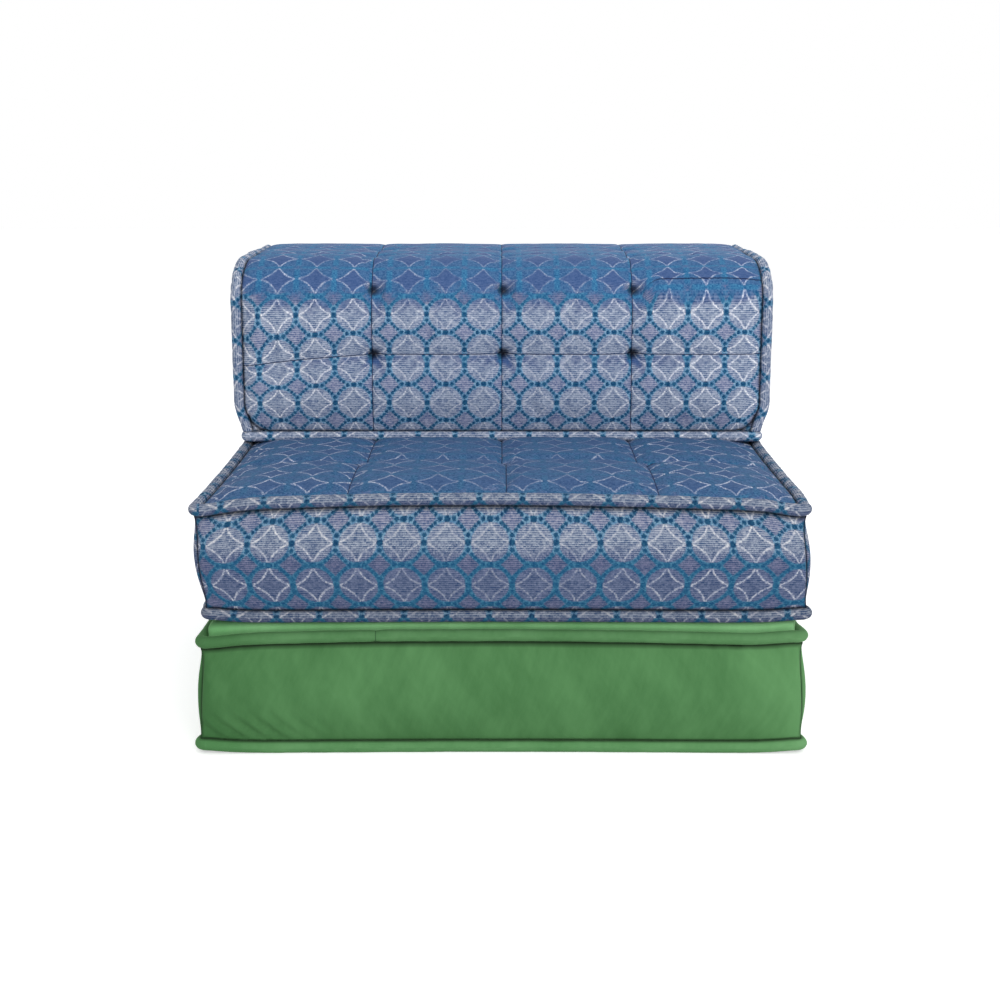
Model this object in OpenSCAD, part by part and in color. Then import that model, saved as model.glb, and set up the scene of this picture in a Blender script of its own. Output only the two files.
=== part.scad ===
// Modular floor sofa: one seat module of three loose cushions, stacked.
// A plain base mattress lies on the floor, a tufted seat mattress lies on it, and a
// rounded, tufted back bolster stands on the rear of the seat.
// Each cushion is a foam core in a sewn cover of quilted panels, boxing bands and rolled
// edges, closed by a zip at the rear.
// Frame: +X to the right as seen from the front, +Y to the rear, +Z up, with the origin on
// the floor under the middle of the base mattress.

/* [Mattresses] */
// Width of a mattress's foam core
core_w = 950; // [600:10:1400]
// Depth of a mattress's foam core
core_d = 950; // [750:10:1200]
// Height of a mattress's foam core
core_h = 167; // [120:1:260]
// Thickness of a boxing band where it is sewn to the rolls
band_t = 10; // [6:1:16]
// How far a boxing band swells out at mid height
band_bulge = 22; // [8:1:28]
// Share of that swelling which is lost at the mitred corners
corner_flat = 0.15; // [0.05:0.05:0.9]
// How far the sides draw in between two corners
corner_ear = 10; // [2:1:20]

/* [Rolled edges] */
// Radius of the stuffed roll along every edge
roll_r = 10; // [6:0.5:14]
// Gap between a roll and the panels that it is sewn to
seam_gap = 0.3; // [0.2:0.1:0.6]
// Depth of the flat that a roll presses where it lies on a surface
roll_flat = 0.5; // [0.3:0.1:1]

/* [Top panels] */
// Thickness of a quilted panel along its sewn edge
panel_edge = 12; // [8:1:18]
// Height of the base's top above its rolled edge, where the seat lies on it
base_proud = 19.7; // [1:0.1:26]
// How quickly the base's top rises from its edge to its flat middle
base_fullness = 1.6; // [1.2:0.1:2]
// Height of the seat's top above its rolled edge, where the bolster lies on it
seat_proud = 1.7; // [1:0.1:10]
// Swell of the seat's top towards the middle
seat_crown = 12; // [4:1:24]
// Puff of each quilted field between its seams
field_puff = 11; // [4:1:20]
// Depth of a tuft below the fields round it
tuft_depth = 15; // [6:1:20]
// Reach of a tuft's dimple
tuft_reach = 34; // [20:1:60]
// Quilted fields across a cushion
fields_across = 4; // [2:1:6]
// Quilted fields from the front to the rear of the seat
fields_deep = 4; // [2:2:6]

/* [Back bolster] */
// Width of the bolster's foam core
back_w = 972; // [600:1:1400]
// Depth of the bolster's foam core
back_d = 460; // [350:10:600]
// Height of the upright front of the core, below its curve
back_front_h = 248.5; // [200:1:400]
// Radius of the tight curve at the top of the front
back_nose_r = 30; // [20:1:80]
// Angle that the tight curve turns through
back_nose_angle = 60; // [40:1:75]
// Radius of the shallow curve that leads on to the top
back_crest_r = 180; // [100:5:260]
// Distance of the bolster's core behind the middle of the seat
back_set = 20; // [15:1:60]
// Height of the lowest row of tufts above the core's underside
back_tuft_h = 148; // [100:1:190]
// Distance of the first tuft row on the top from the end of the curve
back_tuft_lead = 30; // [20:1:40]
// Pitch of the tuft rows on the bolster's top
back_tuft_pitch = 140; // [90:5:160]
// Height of the bolster's zip above the core's underside
back_zip_h = 70; // [40:1:100]
// Swell of the bolster's quilted panel towards the middle
back_crown = 8; // [2:1:16]
// Puff of the bolster's two end panels
end_bulge = 9; // [2:1:16]
// Swell of the bolster's rear panel at its zip
rear_bulge = 5; // [4:1:12]
// Draw of the bolster's lower corners
back_ear = 4; // [1:1:12]
// How far the bolster's underside is tucked in below its two ends
back_tuck = 16; // [0:1:24]

/* [Zips] */
// Distance of a zip's end from the core's corner
zip_margin = 145; // [120:5:200]
// Height of the slot between the two rear strips, which the zip closes
zip_slot = 14; // [12:1:20]
// Depth of a mattress's zip tape below the strips beside it
zip_recess = 9; // [2:0.5:10]
// Width of the closed row of teeth
chain_w = 6; // [4:0.5:8]
// Thickness of the closed row of teeth
chain_t = 2.4; // [1.5:0.1:3]
// Length of the slider
slider_l = 12; // [12:1:20]
// Height of the slider across the zip
slider_h = 11; // [9:0.5:12]
// Wall of the slider over the teeth
slider_wall = 1.4; // [1:0.1:2]
// Running clearance of the slider round the teeth
slider_gap = 0.3; // [0.2:0.1:0.5]
// Length of the pull tab
pull_l = 26; // [15:1:40]
// Width of the pull tab
pull_w = 7; // [5:0.5:8]
// Thickness of the pull tab
pull_t = 1.6; // [1.2:0.1:2.4]
// Radius of the pin that carries the pull tab
pin_r = 1; // [0.8:0.1:1.4]
// Running clearance of the pull tab on its pin
pin_gap = 0.1; // [0.05:0.05:0.3]

/* [Tufting] */
// Radius of the tufting twine
twine_r = 1.2; // [0.8:0.1:2]
// Clearance of the twine in its hole through the foam
twine_gap = 0.3; // [0.2:0.1:0.6]
// Sideways step between crossing twines in the bolster
twine_step = 6; // [5:1:12]

/* [Hidden] */

green = "#4f9a57";
light_green = "#66ab68";
blue = "#6d86b4";
silver_blue = "#8697bd";
teal = "#3f7f9f";
foam = "#e9dfb8";
twine = "#d8d2c4";
steel = "#a9adb3";

// Gap between one cushion and the next
rest_gap = 0.3;
// A roll's middle stands this far out from the core and from the band that it lies on
roll_out = roll_r + seam_gap;
// A bottom panel is as thick as the flattened roll round it
bottom_t = 2 * roll_r + seam_gap - roll_flat;
// Thickness of the base's and the seat's top panel where the cushion above presses on it
base_rest = 2 * roll_r + seam_gap + base_proud;
seat_rest = 2 * roll_r + seam_gap + seat_proud;
half_w = core_w / 2;
half_d = core_d / 2;
// Heights of each cushion's underside, and of its core's lower face
base_z = 0;
base_core_z = base_z + bottom_t;
seat_z = base_core_z + core_h + base_rest + rest_gap;
seat_core_z = seat_z + bottom_t;
back_z = seat_core_z + core_h + seat_rest + rest_gap;
back_core_z = back_z + bottom_t;

// Draw of an edge at the place p along it, for an edge whose corner lies at half
function draw(p, half, ear) = ear * p * p / (half * half);
// Wave that is 0 on every seam and 1 in the middle of a field
function field(c) = abs(sin(180 * c));
function clip01(t) = min(1, max(0, t));
function flat_list(rows) = [for (row = rows) each row];
function unit(v) = v / norm(v);

// A closed pad between an outer grid of points and the rim of an inner one.
// Each grid is a list of rows; the cross product of a row's direction with the step from
// row to row points outwards.
module pad(outer, inner) {
    n = len(outer[0]) - 1;
    m = len(outer) - 1;
    first = (n + 1) * (m + 1);
    rim = [for (j = [1:1:m - 1]) each [inner[j][0], inner[j][n]]];
    points = concat(flat_list(outer), inner[0], rim, inner[m]);
    function o(i, j) = j * (n + 1) + i;
    function q(i, j) = first + (j == 0 ? i
        : j == m ? n + 1 + 2 * (m - 1) + i
        : n + 1 + 2 * (j - 1) + (i == 0 ? 0 : 1));
    skin = [for (j = [0:m - 1], i = [0:n - 1]) each
        [[o(i, j), o(i, j + 1), o(i + 1, j + 1)], [o(i, j), o(i + 1, j + 1), o(i + 1, j)]]];
    lining = m == 1
        ? [for (i = [0:n - 1]) each
            [[q(i, 0), q(i + 1, 0), q(i + 1, 1)], [q(i, 0), q(i + 1, 1), q(i, 1)]]]
        : concat(
            [for (i = [0:n - 1]) [q(i, 0), q(i + 1, 0), q(0, 1)]],
            [[q(n, 0), q(n, 1), q(0, 1)]],
            [for (j = [1:1:m - 2]) each
                [[q(0, j), q(n, j), q(n, j + 1)], [q(0, j), q(n, j + 1), q(0, j + 1)]]],
            [[q(0, m - 1), q(n, m - 1), q(0, m)]],
            [for (i = [0:n - 1]) [q(n, m - 1), q(i + 1, m), q(i, m)]]);
    ends = [for (i = [0:n - 1]) each
        [[q(i, 0), o(i, 0), o(i + 1, 0)], [q(i, 0), o(i + 1, 0), q(i + 1, 0)],
         [q(i, m), o(i + 1, m), o(i, m)], [q(i, m), q(i + 1, m), o(i + 1, m)]]];
    sides = [for (j = [0:m - 1]) each
        [[q(0, j + 1), o(0, j + 1), o(0, j)], [q(0, j + 1), o(0, j), q(0, j)],
         [q(n, j), o(n, j), o(n, j + 1)], [q(n, j), o(n, j + 1), q(n, j + 1)]]];
    polyhedron(points, concat(skin, lining, ends, sides), convexity = 8);
}

// Plan outline of a panel inside its rolled edge, drawn in between the corners
panel_steps = 16;
function edge_along(u, a, b, ear) =
    [u * (a + ear), b + draw(u * (a + ear), a + roll_out + ear, ear)];
function panel_outline(a, b, ear) = concat(
    [for (k = [0:panel_steps - 1]) let (e = edge_along(1 - 2 * k / panel_steps, a, b, ear)) e],
    [for (k = [0:panel_steps - 1]) let (e = edge_along(1 - 2 * k / panel_steps, b, a, ear))
        [-e[1], e[0]]],
    [for (k = [0:panel_steps - 1]) let (e = edge_along(1 - 2 * k / panel_steps, a, b, ear)) -e],
    [for (k = [0:panel_steps - 1]) let (e = edge_along(1 - 2 * k / panel_steps, b, a, ear))
        [e[1], -e[0]]]);

// A flat panel with its wadding, under a cushion
module flat_panel(a, b, ear) {
    linear_extrude(height = bottom_t) polygon(panel_outline(a, b, ear));
}

// A place on a drawn-in rectangular panel, for u and v from -1 to 1
function panel_place(u, v, a, b, ear) = [
    u * (a + draw(v * (b + ear), b + roll_out + ear, ear)),
    v * (b + draw(u * (a + ear), a + roll_out + ear, ear))];

// Cells of a panel's skin: across and along each quilted field, and along a plain side
cells_across = 8;
cells_deep = 7;
plain_cells = 14;

// The top of a mattress: flat below, with its thickness from the function literal t(u, v)
module top_panel(n, m, t) {
    outer = [for (j = [0:m]) [for (i = [0:n])
        let (u = 2 * i / n - 1, v = 2 * j / m - 1, p = panel_place(u, v, half_w, half_d, corner_ear))
        [p[0], p[1], t(u, v)]]];
    inner = [for (row = outer) [for (p = row) [p[0], p[1], 0]]];
    pad(outer, inner);
}

// Quilting in a grid of fields: c and r count the fields across and along. The puff's curve is
// fuller than a wave's, and the seams between rows draw it in by a share only.
puff_curve = 0.6;
row_draw = 0.4;
function quilt_puff(c, r) = field_puff * pow(field(c), puff_curve)
    * (1 - row_draw + row_draw * pow(field(r), puff_curve));
// Dimple of the nearest tuft, where dx and dy are the distances to it
function dimple(dx, dy) = tuft_depth * exp(-(dx * dx + dy * dy) / (tuft_reach * tuft_reach));
// Distance from a count of fields to the nearest inner seam, in fields
function to_seam(c, count) = abs(c - min(count - 1, max(1, round(c))));
// Fade of the puff towards the sewn edges, for a place from -1 to 1
function fade(v) = 1 - pow(abs(v), 24);

// The bolster presses on the seat behind this place, just ahead of its rolled edge
press_y = back_set - 2 * roll_r - seam_gap - back_ear - 1;
function seat_thickness(u, v) =
    let (c = fields_across * (u + 1) / 2, r = fields_deep * (v + 1) / 2,
         across = core_w / fields_across, deep = core_d / fields_deep,
         swell = seat_crown * (1 - pow(u, 4)) * (1 - pow(v, 4)),
         dip = dimple(across * to_seam(c, fields_across), deep * to_seam(r, fields_deep)),
         t = panel_edge + swell + quilt_puff(c, r) * fade(v) - dip)
    v * half_d < press_y ? t : min(t, seat_rest);

function base_thickness(u, v) = panel_edge + (base_rest - panel_edge)
    * min(1, base_fullness * (1 - pow(u, 6)) * (1 - pow(v, 6)));

// A boxing band on the front of a core: h high, flat behind, and swelling most at mid height
// and between the mitred corners. It is made through the given levels.
band_n = 14;
function band_swell(p, half) = 1 - corner_flat * pow(p / half, 8);
function band_out(p, z, half, h) =
    band_t + band_bulge * band_swell(p, half) * sin(180 * clip01(z / h));
module band(half, b, h, levels) {
    outer = [for (z = levels) [for (i = [0:band_n])
        let (p = half * (2 * i / band_n - 1), out = band_out(p, z, half, h))
        [abs(p) == half ? sign(p) * (half + out) : p, -(b + out), z]]];
    inner = [for (row = outer) [for (i = [0:band_n])
        [half * (2 * i / band_n - 1), -b, row[0][2]]]];
    pad(outer, inner);
}

// A stuffed tube through rings of points, each with the same number of points
module tube(rings, closed) {
    k_n = len(rings);
    a_n = len(rings[0]);
    function at(k, a) = (k % k_n) * a_n + a % a_n;
    wall = [for (k = [0:k_n - (closed ? 1 : 2)], a = [0:a_n - 1]) each
        [[at(k, a), at(k, a + 1), at(k + 1, a + 1)], [at(k, a), at(k + 1, a + 1), at(k + 1, a)]]];
    caps = closed ? [] : [for (a = [1:a_n - 2]) each
        [[at(0, 0), at(0, a + 1), at(0, a)],
         [at(k_n - 1, 0), at(k_n - 1, a), at(k_n - 1, a + 1)]]];
    polyhedron(flat_list(rings), concat(wall, caps), convexity = 8);
}

// Points of a roll round one place: out and up are its directions there, stretch widens a
// mitred corner, and flat is how much of its lower side is pressed away
roll_sides = 10;
function roll_ring(place, out, up, stretch, flat) = [for (a = [0:roll_sides - 1])
    let (t = 360 * (a + 0.5) / roll_sides, lift = max(roll_r * sin(t), flat - roll_r))
    place + out * roll_r * cos(t) * stretch + up * lift];

// The roll round a cushion whose core measures 2a by 2b, drawn in between its corners
roll_steps = 8;
module edge_roll(a, b, ear, flat) {
    function side(half, out) = [for (k = [0:roll_steps - 1])
        let (p = half * (2 * k / roll_steps - 1)) [p, -out - draw(p, half, ear)]];
    half_a = a + roll_out + ear;
    half_b = b + roll_out + ear;
    front = side(half_a, b + roll_out);
    right = [for (p = side(half_b, a + roll_out)) [-p[1], p[0]]];
    path = concat(front, right, -front, -right);
    k_n = len(path);
    rings = [for (k = [0:k_n - 1]) let (
        before = unit(path[k] - path[(k + k_n - 1) % k_n]),
        after = unit(path[(k + 1) % k_n] - path[k]),
        way = unit(before + after),
        stretch = 1 / (before * way))
        roll_ring([path[k][0], path[k][1], 0], [way[1], -way[0], 0], [0, 0, 1], stretch, flat)];
    tube(rings, true);
}

// Zips lie on a face at depth 0 whose outward direction is +Y. The slider's pin stands across
// the zip, so that the pull tab lies along the teeth and swings over from side to side.
lug_t = 1.5;
slider_t = chain_t + slider_gap + slider_wall;
pull_eye = pin_r + pin_gap + 1;
pin_y = slider_gap + slider_t + pull_eye + slider_gap;
pull_hole_r = 1.6;
function slider_x(l) = slider_l - l / 2;

module zip_teeth(l) {
    translate([-l / 2, 0, -chain_w / 2]) cube([l, chain_t, chain_w]);
}

module zip_slider(l) {
    lug_z = pull_w / 2 + slider_gap;
    lug_w = 2 * pin_r + lug_t;
    groove_w = chain_w + 2 * slider_gap;
    translate([slider_x(l), 0, 0]) {
        difference() {
            translate([-slider_l / 2, slider_gap, -slider_h / 2])
                cube([slider_l, slider_t, slider_h]);
            translate([-slider_l, -chain_t, -groove_w / 2])
                cube([2 * slider_l, 2 * chain_t + slider_gap, groove_w]);
        }
        for (s = [0, 1]) mirror([0, 0, s]) translate([-lug_w / 2, slider_t, lug_z])
            cube([lug_w, pin_y - slider_t + lug_w / 2, lug_t]);
        translate([0, pin_y, 0])
            cylinder(h = 2 * lug_z + lug_t, r = pin_r, center = true, $fn = 24);
    }
}

module zip_pull(l) {
    translate([slider_x(l), pin_y, 0]) difference() {
        union() {
            cylinder(h = pull_w, r = pull_eye, center = true, $fn = 24);
            translate([0, pull_eye - pull_t, -pull_w / 2]) cube([pull_l, pull_t, pull_w]);
        }
        cylinder(h = 2 * pull_w, r = pin_r + pin_gap, center = true, $fn = 24);
        translate([pull_l - pull_w / 2, 0, 0]) rotate([-90, 0, 0])
            cylinder(h = 2 * pull_eye, r = pull_hole_r, $fn = 24);
    }
}

// A tape that fills the slot between two strips; plan is its outline from above
module zip_tape(plan) {
    translate([0, 0, -zip_slot / 2 + seam_gap])
        linear_extrude(height = zip_slot - 2 * seam_gap) polygon(plan);
}

// Pieces of a mattress, made on a core whose lower face is at height 0
zip_z = core_h / 2;
zip_l = core_w - 2 * zip_margin;
zip_out = band_t + band_bulge - zip_recess;
tape_n = 28;

module seat_tuft_places() {
    for (i = [1:fields_across - 1], j = [1:fields_deep - 1])
        translate([-half_w + i * core_w / fields_across, -half_d + j * core_d / fields_deep, 0])
            children();
}

// Levels of the band below and above the zip; the other sides have both, so that they meet
function levels_between(z0, z1) = [for (k = [0:3]) z0 + (z1 - z0) * k / 3];
low_levels = levels_between(0, zip_z - zip_slot / 2);
high_levels = levels_between(zip_z + zip_slot / 2, core_h);
all_levels = concat(low_levels, high_levels);

module mattress_core() {
    translate([-half_w, -half_d, 0]) cube([core_w, core_d, core_h]);
}

module mattress_side(side) {
    rotate([0, 0, side * 90]) band(half_d, half_w, core_h, all_levels);
}

module mattress_front() {
    band(half_w, half_d, core_h, all_levels);
}

module mattress_rear(levels) {
    rotate([0, 0, 180]) band(half_w, half_d, core_h, levels);
}

// The tape follows the swelling of the strips beside it, and is straight behind the teeth
function tape_out(p) = min(zip_out, band_out(p, zip_z, half_w, core_h) - 1);
module mattress_tape() {
    outer = [for (k = [0:tape_n]) let (p = half_w * (1 - 2 * k / tape_n), out = tape_out(p))
        [abs(p) == half_w ? sign(p) * (half_w + out) : p, half_d + out]];
    zip_tape(concat([[-half_w, half_d], [half_w, half_d]], outer));
}

module at_mattress_zip(z) {
    translate([0, half_d + zip_out, z + zip_z]) children();
}

// Side outline of the bolster's core, as places and outward directions along its front and
// top: an upright front, a tight curve, a shallow curve and a flat top
nose_l = back_nose_r * back_nose_angle * PI / 180;
crest_l = back_crest_r * (90 - back_nose_angle) * PI / 180;
nose_end = [back_nose_r * (1 - cos(back_nose_angle)),
    back_front_h + back_nose_r * sin(back_nose_angle)];
crest_c = nose_end + back_crest_r * [cos(back_nose_angle), -sin(back_nose_angle)];
back_h = crest_c[1] + back_crest_r;
flat_s = back_front_h + nose_l + crest_l;
back_s = flat_s + back_d - crest_c[0];
half_back = back_w / 2;

function back_angle(s) = s <= back_front_h ? 0
    : s <= back_front_h + nose_l ? (s - back_front_h) / back_nose_r * 180 / PI
    : s < flat_s ? back_nose_angle + (s - back_front_h - nose_l) / back_crest_r * 180 / PI
    : 90;
function back_place(s) = let (t = back_angle(s))
    s <= back_front_h ? [0, s]
    : s <= back_front_h + nose_l ? [back_nose_r * (1 - cos(t)), back_front_h + back_nose_r * sin(t)]
    : s < flat_s ? crest_c + back_crest_r * [-cos(t), sin(t)]
    : [crest_c[0] + s - flat_s, back_h];
function back_normal(s) = [-cos(back_angle(s)), sin(back_angle(s))];

// Tuft rows, counted along the outline from the lower front edge
back_rows = [back_tuft_h, back_front_h + nose_l / 2, flat_s + back_tuft_lead,
    flat_s + back_tuft_lead + back_tuft_pitch];
row_count = [[0, 0], [back_rows[0], 1], [back_rows[1], 2], [back_rows[2], 3],
    [back_rows[3], 4], [back_s, 5]];
function steps(a, b, n) = [for (k = [0:n - 1]) a + (b - a) * k / n];
back_stations = concat(steps(0, back_rows[0], 5), steps(back_rows[0], back_front_h, 3),
    steps(back_front_h, back_front_h + nose_l, 4), steps(back_front_h + nose_l, flat_s, 3),
    [flat_s], steps(back_rows[2], back_rows[3], 4), steps(back_rows[3], back_s, 5), [back_s]);
crest_stations = [for (s = back_stations) if (s <= flat_s) s];

function back_thickness(u, s) =
    let (c = fields_across * (u + 1) / 2, v = 2 * s / back_s - 1,
         swell = back_crown * (1 - pow(u, 4)) * (1 - pow(v, 6)),
         across = back_w / fields_across * to_seam(c, fields_across),
         along = min([for (row = back_rows) abs(s - row)]))
    panel_edge + swell + quilt_puff(c, lookup(s, row_count)) * fade(v) - dimple(across, along);

module back_core_solid() {
    rotate([90, 0, 90]) translate([0, 0, -half_back]) linear_extrude(height = back_w)
        polygon(concat([for (s = back_stations) back_place(s)], [[back_d, 0]]));
}

module quilted_panel() {
    n = cells_across * fields_across;
    outer = [for (s = back_stations) let (p = back_place(s), d = back_normal(s))
        [for (i = [0:n]) let (u = 2 * i / n - 1, t = back_thickness(u, s))
            [u * half_back, p[0] + t * d[0], p[1] + t * d[1]]]];
    inner = [for (s = back_stations) let (p = back_place(s))
        [for (i = [0:n]) [(2 * i / n - 1) * half_back, p[0], p[1]]]];
    pad(outer, inner);
}

end_cells = 8;
end_fullness = 0.7;
module end_panel() {
    n = end_cells;
    outer = [for (s = crest_stations) let (p = back_place(s)) [for (i = [0:n])
        let (wave = clip01(sin(180 * i / n)) * clip01(sin(180 * p[1] / back_h)),
             puff = pow(wave, end_fullness))
        [half_back + band_t + end_bulge * puff, p[0] + (back_d - p[0]) * i / n, p[1]]]];
    inner = [for (row = outer) [for (p = row) [half_back, p[1], p[2]]]];
    pad(outer, inner);
}

rear_n = 12;
rear_h = back_h + panel_edge;
function rear_out(u, z) =
    band_t + rear_bulge * (1 - pow(u, 6)) * sin(180 * clip01(z / rear_h));
module rear_panel(z0, z1, steps_up) {
    outer = [for (j = [0:steps_up]) let (z = z0 + (z1 - z0) * j / steps_up)
        [for (i = [0:rear_n]) let (u = 1 - 2 * i / rear_n)
            [u * half_back, back_d + rear_out(u, z), z]]];
    inner = [for (row = outer) [for (p = row) [p[0], back_d, p[2]]]];
    pad(outer, inner);
}

// The roll up the front, over the top and down the rear of an end, as the places on the
// core that it follows and the directions in which it lies there
end_bends = concat([for (s = concat(crest_stations, [back_s]))
    if (s == 0 || s >= back_front_h) [back_place(s), back_angle(s)]],
    [for (t = [120, 150, 180]) [[back_d, back_h], t]], [[[back_d, 0], 180]]);
module end_roll() {
    rings = [for (bend = end_bends)
        let (out = [0, -cos(bend[1]), sin(bend[1])],
             place = [half_back + roll_out, bend[0][0], bend[0][1]] + roll_out * out)
        roll_ring(place, out, [-1, 0, 0], 1, 0)];
    tube(rings, false);
}

module back_twines(r) {
    for (i = [1:fields_across - 1]) translate([-half_back + i * back_w / fields_across, 0, 0]) {
        for (k = [0, 1]) translate([0, -roll_r, back_place(back_rows[k])[1]])
            rotate([-90, 0, 0]) cylinder(h = back_d + 2 * roll_r, r = r, $fn = 16);
        for (k = [2, 3]) translate([twine_step, back_place(back_rows[k])[0], -roll_r])
            cylinder(h = back_h + 2 * roll_r, r = r, $fn = 16);
    }
}

module at_back() { translate([0, back_set, back_core_z]) children(); }
module at_back_zip() { at_back() translate([0, back_d + band_t, back_zip_h]) children(); }
back_zip_l = back_w - 2 * zip_margin;

// Base mattress
module base_foam_core() { color(foam) translate([0, 0, base_core_z]) mattress_core(); }
module base_top_panel() {
    color(light_green) translate([0, 0, base_core_z + core_h])
        top_panel(plain_cells, plain_cells, function (u, v) base_thickness(u, v));
}
module base_bottom_panel() {
    color(green) translate([0, 0, base_z]) flat_panel(half_w, half_d, corner_ear);
}
module base_front_band() {
    color(green) translate([0, 0, base_core_z]) mattress_front();
}
module base_left_band() { color(green) translate([0, 0, base_core_z]) mattress_side(-1); }
module base_right_band() { color(green) translate([0, 0, base_core_z]) mattress_side(1); }
module base_rear_band_upper() {
    color(green) translate([0, 0, base_core_z]) mattress_rear(high_levels);
}
module base_rear_band_lower() {
    color(green) translate([0, 0, base_core_z]) mattress_rear(low_levels);
}
module base_top_roll() {
    color(light_green) translate([0, 0, base_core_z + core_h + roll_out])
        edge_roll(half_w, half_d, corner_ear, 0);
}
module base_bottom_roll() {
    color(light_green) translate([0, 0, base_z + roll_r - roll_flat])
        edge_roll(half_w, half_d, corner_ear, roll_flat);
}
module base_zip_tape() { color(green) translate([0, 0, base_core_z + zip_z]) mattress_tape(); }
module base_zip_teeth() { color(green) at_mattress_zip(base_core_z) zip_teeth(zip_l); }
module base_zip_slider() { color(steel) at_mattress_zip(base_core_z) zip_slider(zip_l); }
module base_zip_pull() { color(steel) at_mattress_zip(base_core_z) zip_pull(zip_l); }

// Seat mattress
module seat_foam_core() {
    color(foam) translate([0, 0, seat_core_z]) difference() {
        mattress_core();
        seat_tuft_places() translate([0, 0, -1])
            cylinder(h = core_h + 2, r = twine_r + twine_gap, $fn = 16);
    }
}
module seat_top_panel() {
    color(blue) translate([0, 0, seat_core_z + core_h])
        top_panel(cells_across * fields_across, cells_deep * fields_deep,
            function (u, v) seat_thickness(u, v));
}
module seat_bottom_panel() {
    color(silver_blue) translate([0, 0, seat_z]) flat_panel(half_w, half_d, corner_ear);
}
module seat_front_band() {
    color(silver_blue) translate([0, 0, seat_core_z]) mattress_front();
}
module seat_left_band() { color(silver_blue) translate([0, 0, seat_core_z]) mattress_side(-1); }
module seat_right_band() { color(silver_blue) translate([0, 0, seat_core_z]) mattress_side(1); }
module seat_rear_band_upper() {
    color(silver_blue) translate([0, 0, seat_core_z]) mattress_rear(high_levels);
}
module seat_rear_band_lower() {
    color(silver_blue) translate([0, 0, seat_core_z]) mattress_rear(low_levels);
}
module seat_top_roll() {
    color(teal) translate([0, 0, seat_core_z + core_h + roll_out])
        edge_roll(half_w, half_d, corner_ear, 0);
}
module seat_bottom_roll() {
    color(teal) translate([0, 0, seat_z + roll_r - roll_flat])
        edge_roll(half_w, half_d, corner_ear, roll_flat);
}
module seat_tuft_twines() {
    color(twine) translate([0, 0, seat_core_z]) seat_tuft_places()
        cylinder(h = core_h, r = twine_r, $fn = 16);
}
module seat_zip_tape() { color(blue) translate([0, 0, seat_core_z + zip_z]) mattress_tape(); }
module seat_zip_teeth() { color(blue) at_mattress_zip(seat_core_z) zip_teeth(zip_l); }
module seat_zip_slider() { color(steel) at_mattress_zip(seat_core_z) zip_slider(zip_l); }
module seat_zip_pull() { color(steel) at_mattress_zip(seat_core_z) zip_pull(zip_l); }

// Back bolster
module back_foam_core() {
    color(foam) at_back() difference() {
        back_core_solid();
        back_twines(twine_r + twine_gap);
    }
}
module back_quilted_panel() { color(blue) at_back() quilted_panel(); }
module back_left_end_panel() { color(silver_blue) at_back() mirror([1, 0, 0]) end_panel(); }
module back_right_end_panel() { color(silver_blue) at_back() end_panel(); }
module back_rear_panel_upper() {
    color(silver_blue) at_back() rear_panel(back_zip_h + zip_slot / 2, rear_h, 5);
}
module back_rear_panel_lower() {
    color(silver_blue) at_back() rear_panel(0, back_zip_h - zip_slot / 2, 2);
}
module back_bottom_panel() {
    color(silver_blue) translate([0, back_set + back_d / 2, back_z])
        flat_panel(half_back - back_tuck, back_d / 2, back_ear);
}
module back_left_roll() { color(teal) at_back() mirror([1, 0, 0]) end_roll(); }
module back_right_roll() { color(teal) at_back() end_roll(); }
module back_bottom_roll() {
    color(teal) translate([0, back_set + back_d / 2, back_z + roll_r - roll_flat])
        edge_roll(half_back - back_tuck, back_d / 2, back_ear, roll_flat);
}
module back_tuft_twines() {
    color(twine) at_back() intersection() {
        back_core_solid();
        back_twines(twine_r);
    }
}
module back_zip_tape() {
    color(blue) at_back() translate([0, 0, back_zip_h])
        zip_tape([[-half_back, back_d], [half_back, back_d],
            [half_back, back_d + band_t], [-half_back, back_d + band_t]]);
}
module back_zip_teeth() { color(blue) at_back_zip() zip_teeth(back_zip_l); }
module back_zip_slider() { color(steel) at_back_zip() zip_slider(back_zip_l); }
module back_zip_pull() { color(steel) at_back_zip() zip_pull(back_zip_l); }

base_foam_core();
base_top_panel();
base_bottom_panel();
base_front_band();
base_left_band();
base_right_band();
base_rear_band_upper();
base_rear_band_lower();
base_top_roll();
base_bottom_roll();
base_zip_tape();
base_zip_teeth();
base_zip_slider();
base_zip_pull();
seat_foam_core();
seat_top_panel();
seat_bottom_panel();
seat_front_band();
seat_left_band();
seat_right_band();
seat_rear_band_upper();
seat_rear_band_lower();
seat_top_roll();
seat_bottom_roll();
seat_tuft_twines();
seat_zip_tape();
seat_zip_teeth();
seat_zip_slider();
seat_zip_pull();
back_foam_core();
back_quilted_panel();
back_left_end_panel();
back_right_end_panel();
back_rear_panel_upper();
back_rear_panel_lower();
back_bottom_panel();
back_left_roll();
back_right_roll();
back_bottom_roll();
back_tuft_twines();
back_zip_tape();
back_zip_teeth();
back_zip_slider();
back_zip_pull();
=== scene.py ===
import math
from functools import partialmethod

import bmesh
import bpy
from mathutils import Matrix, Vector, noise


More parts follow.
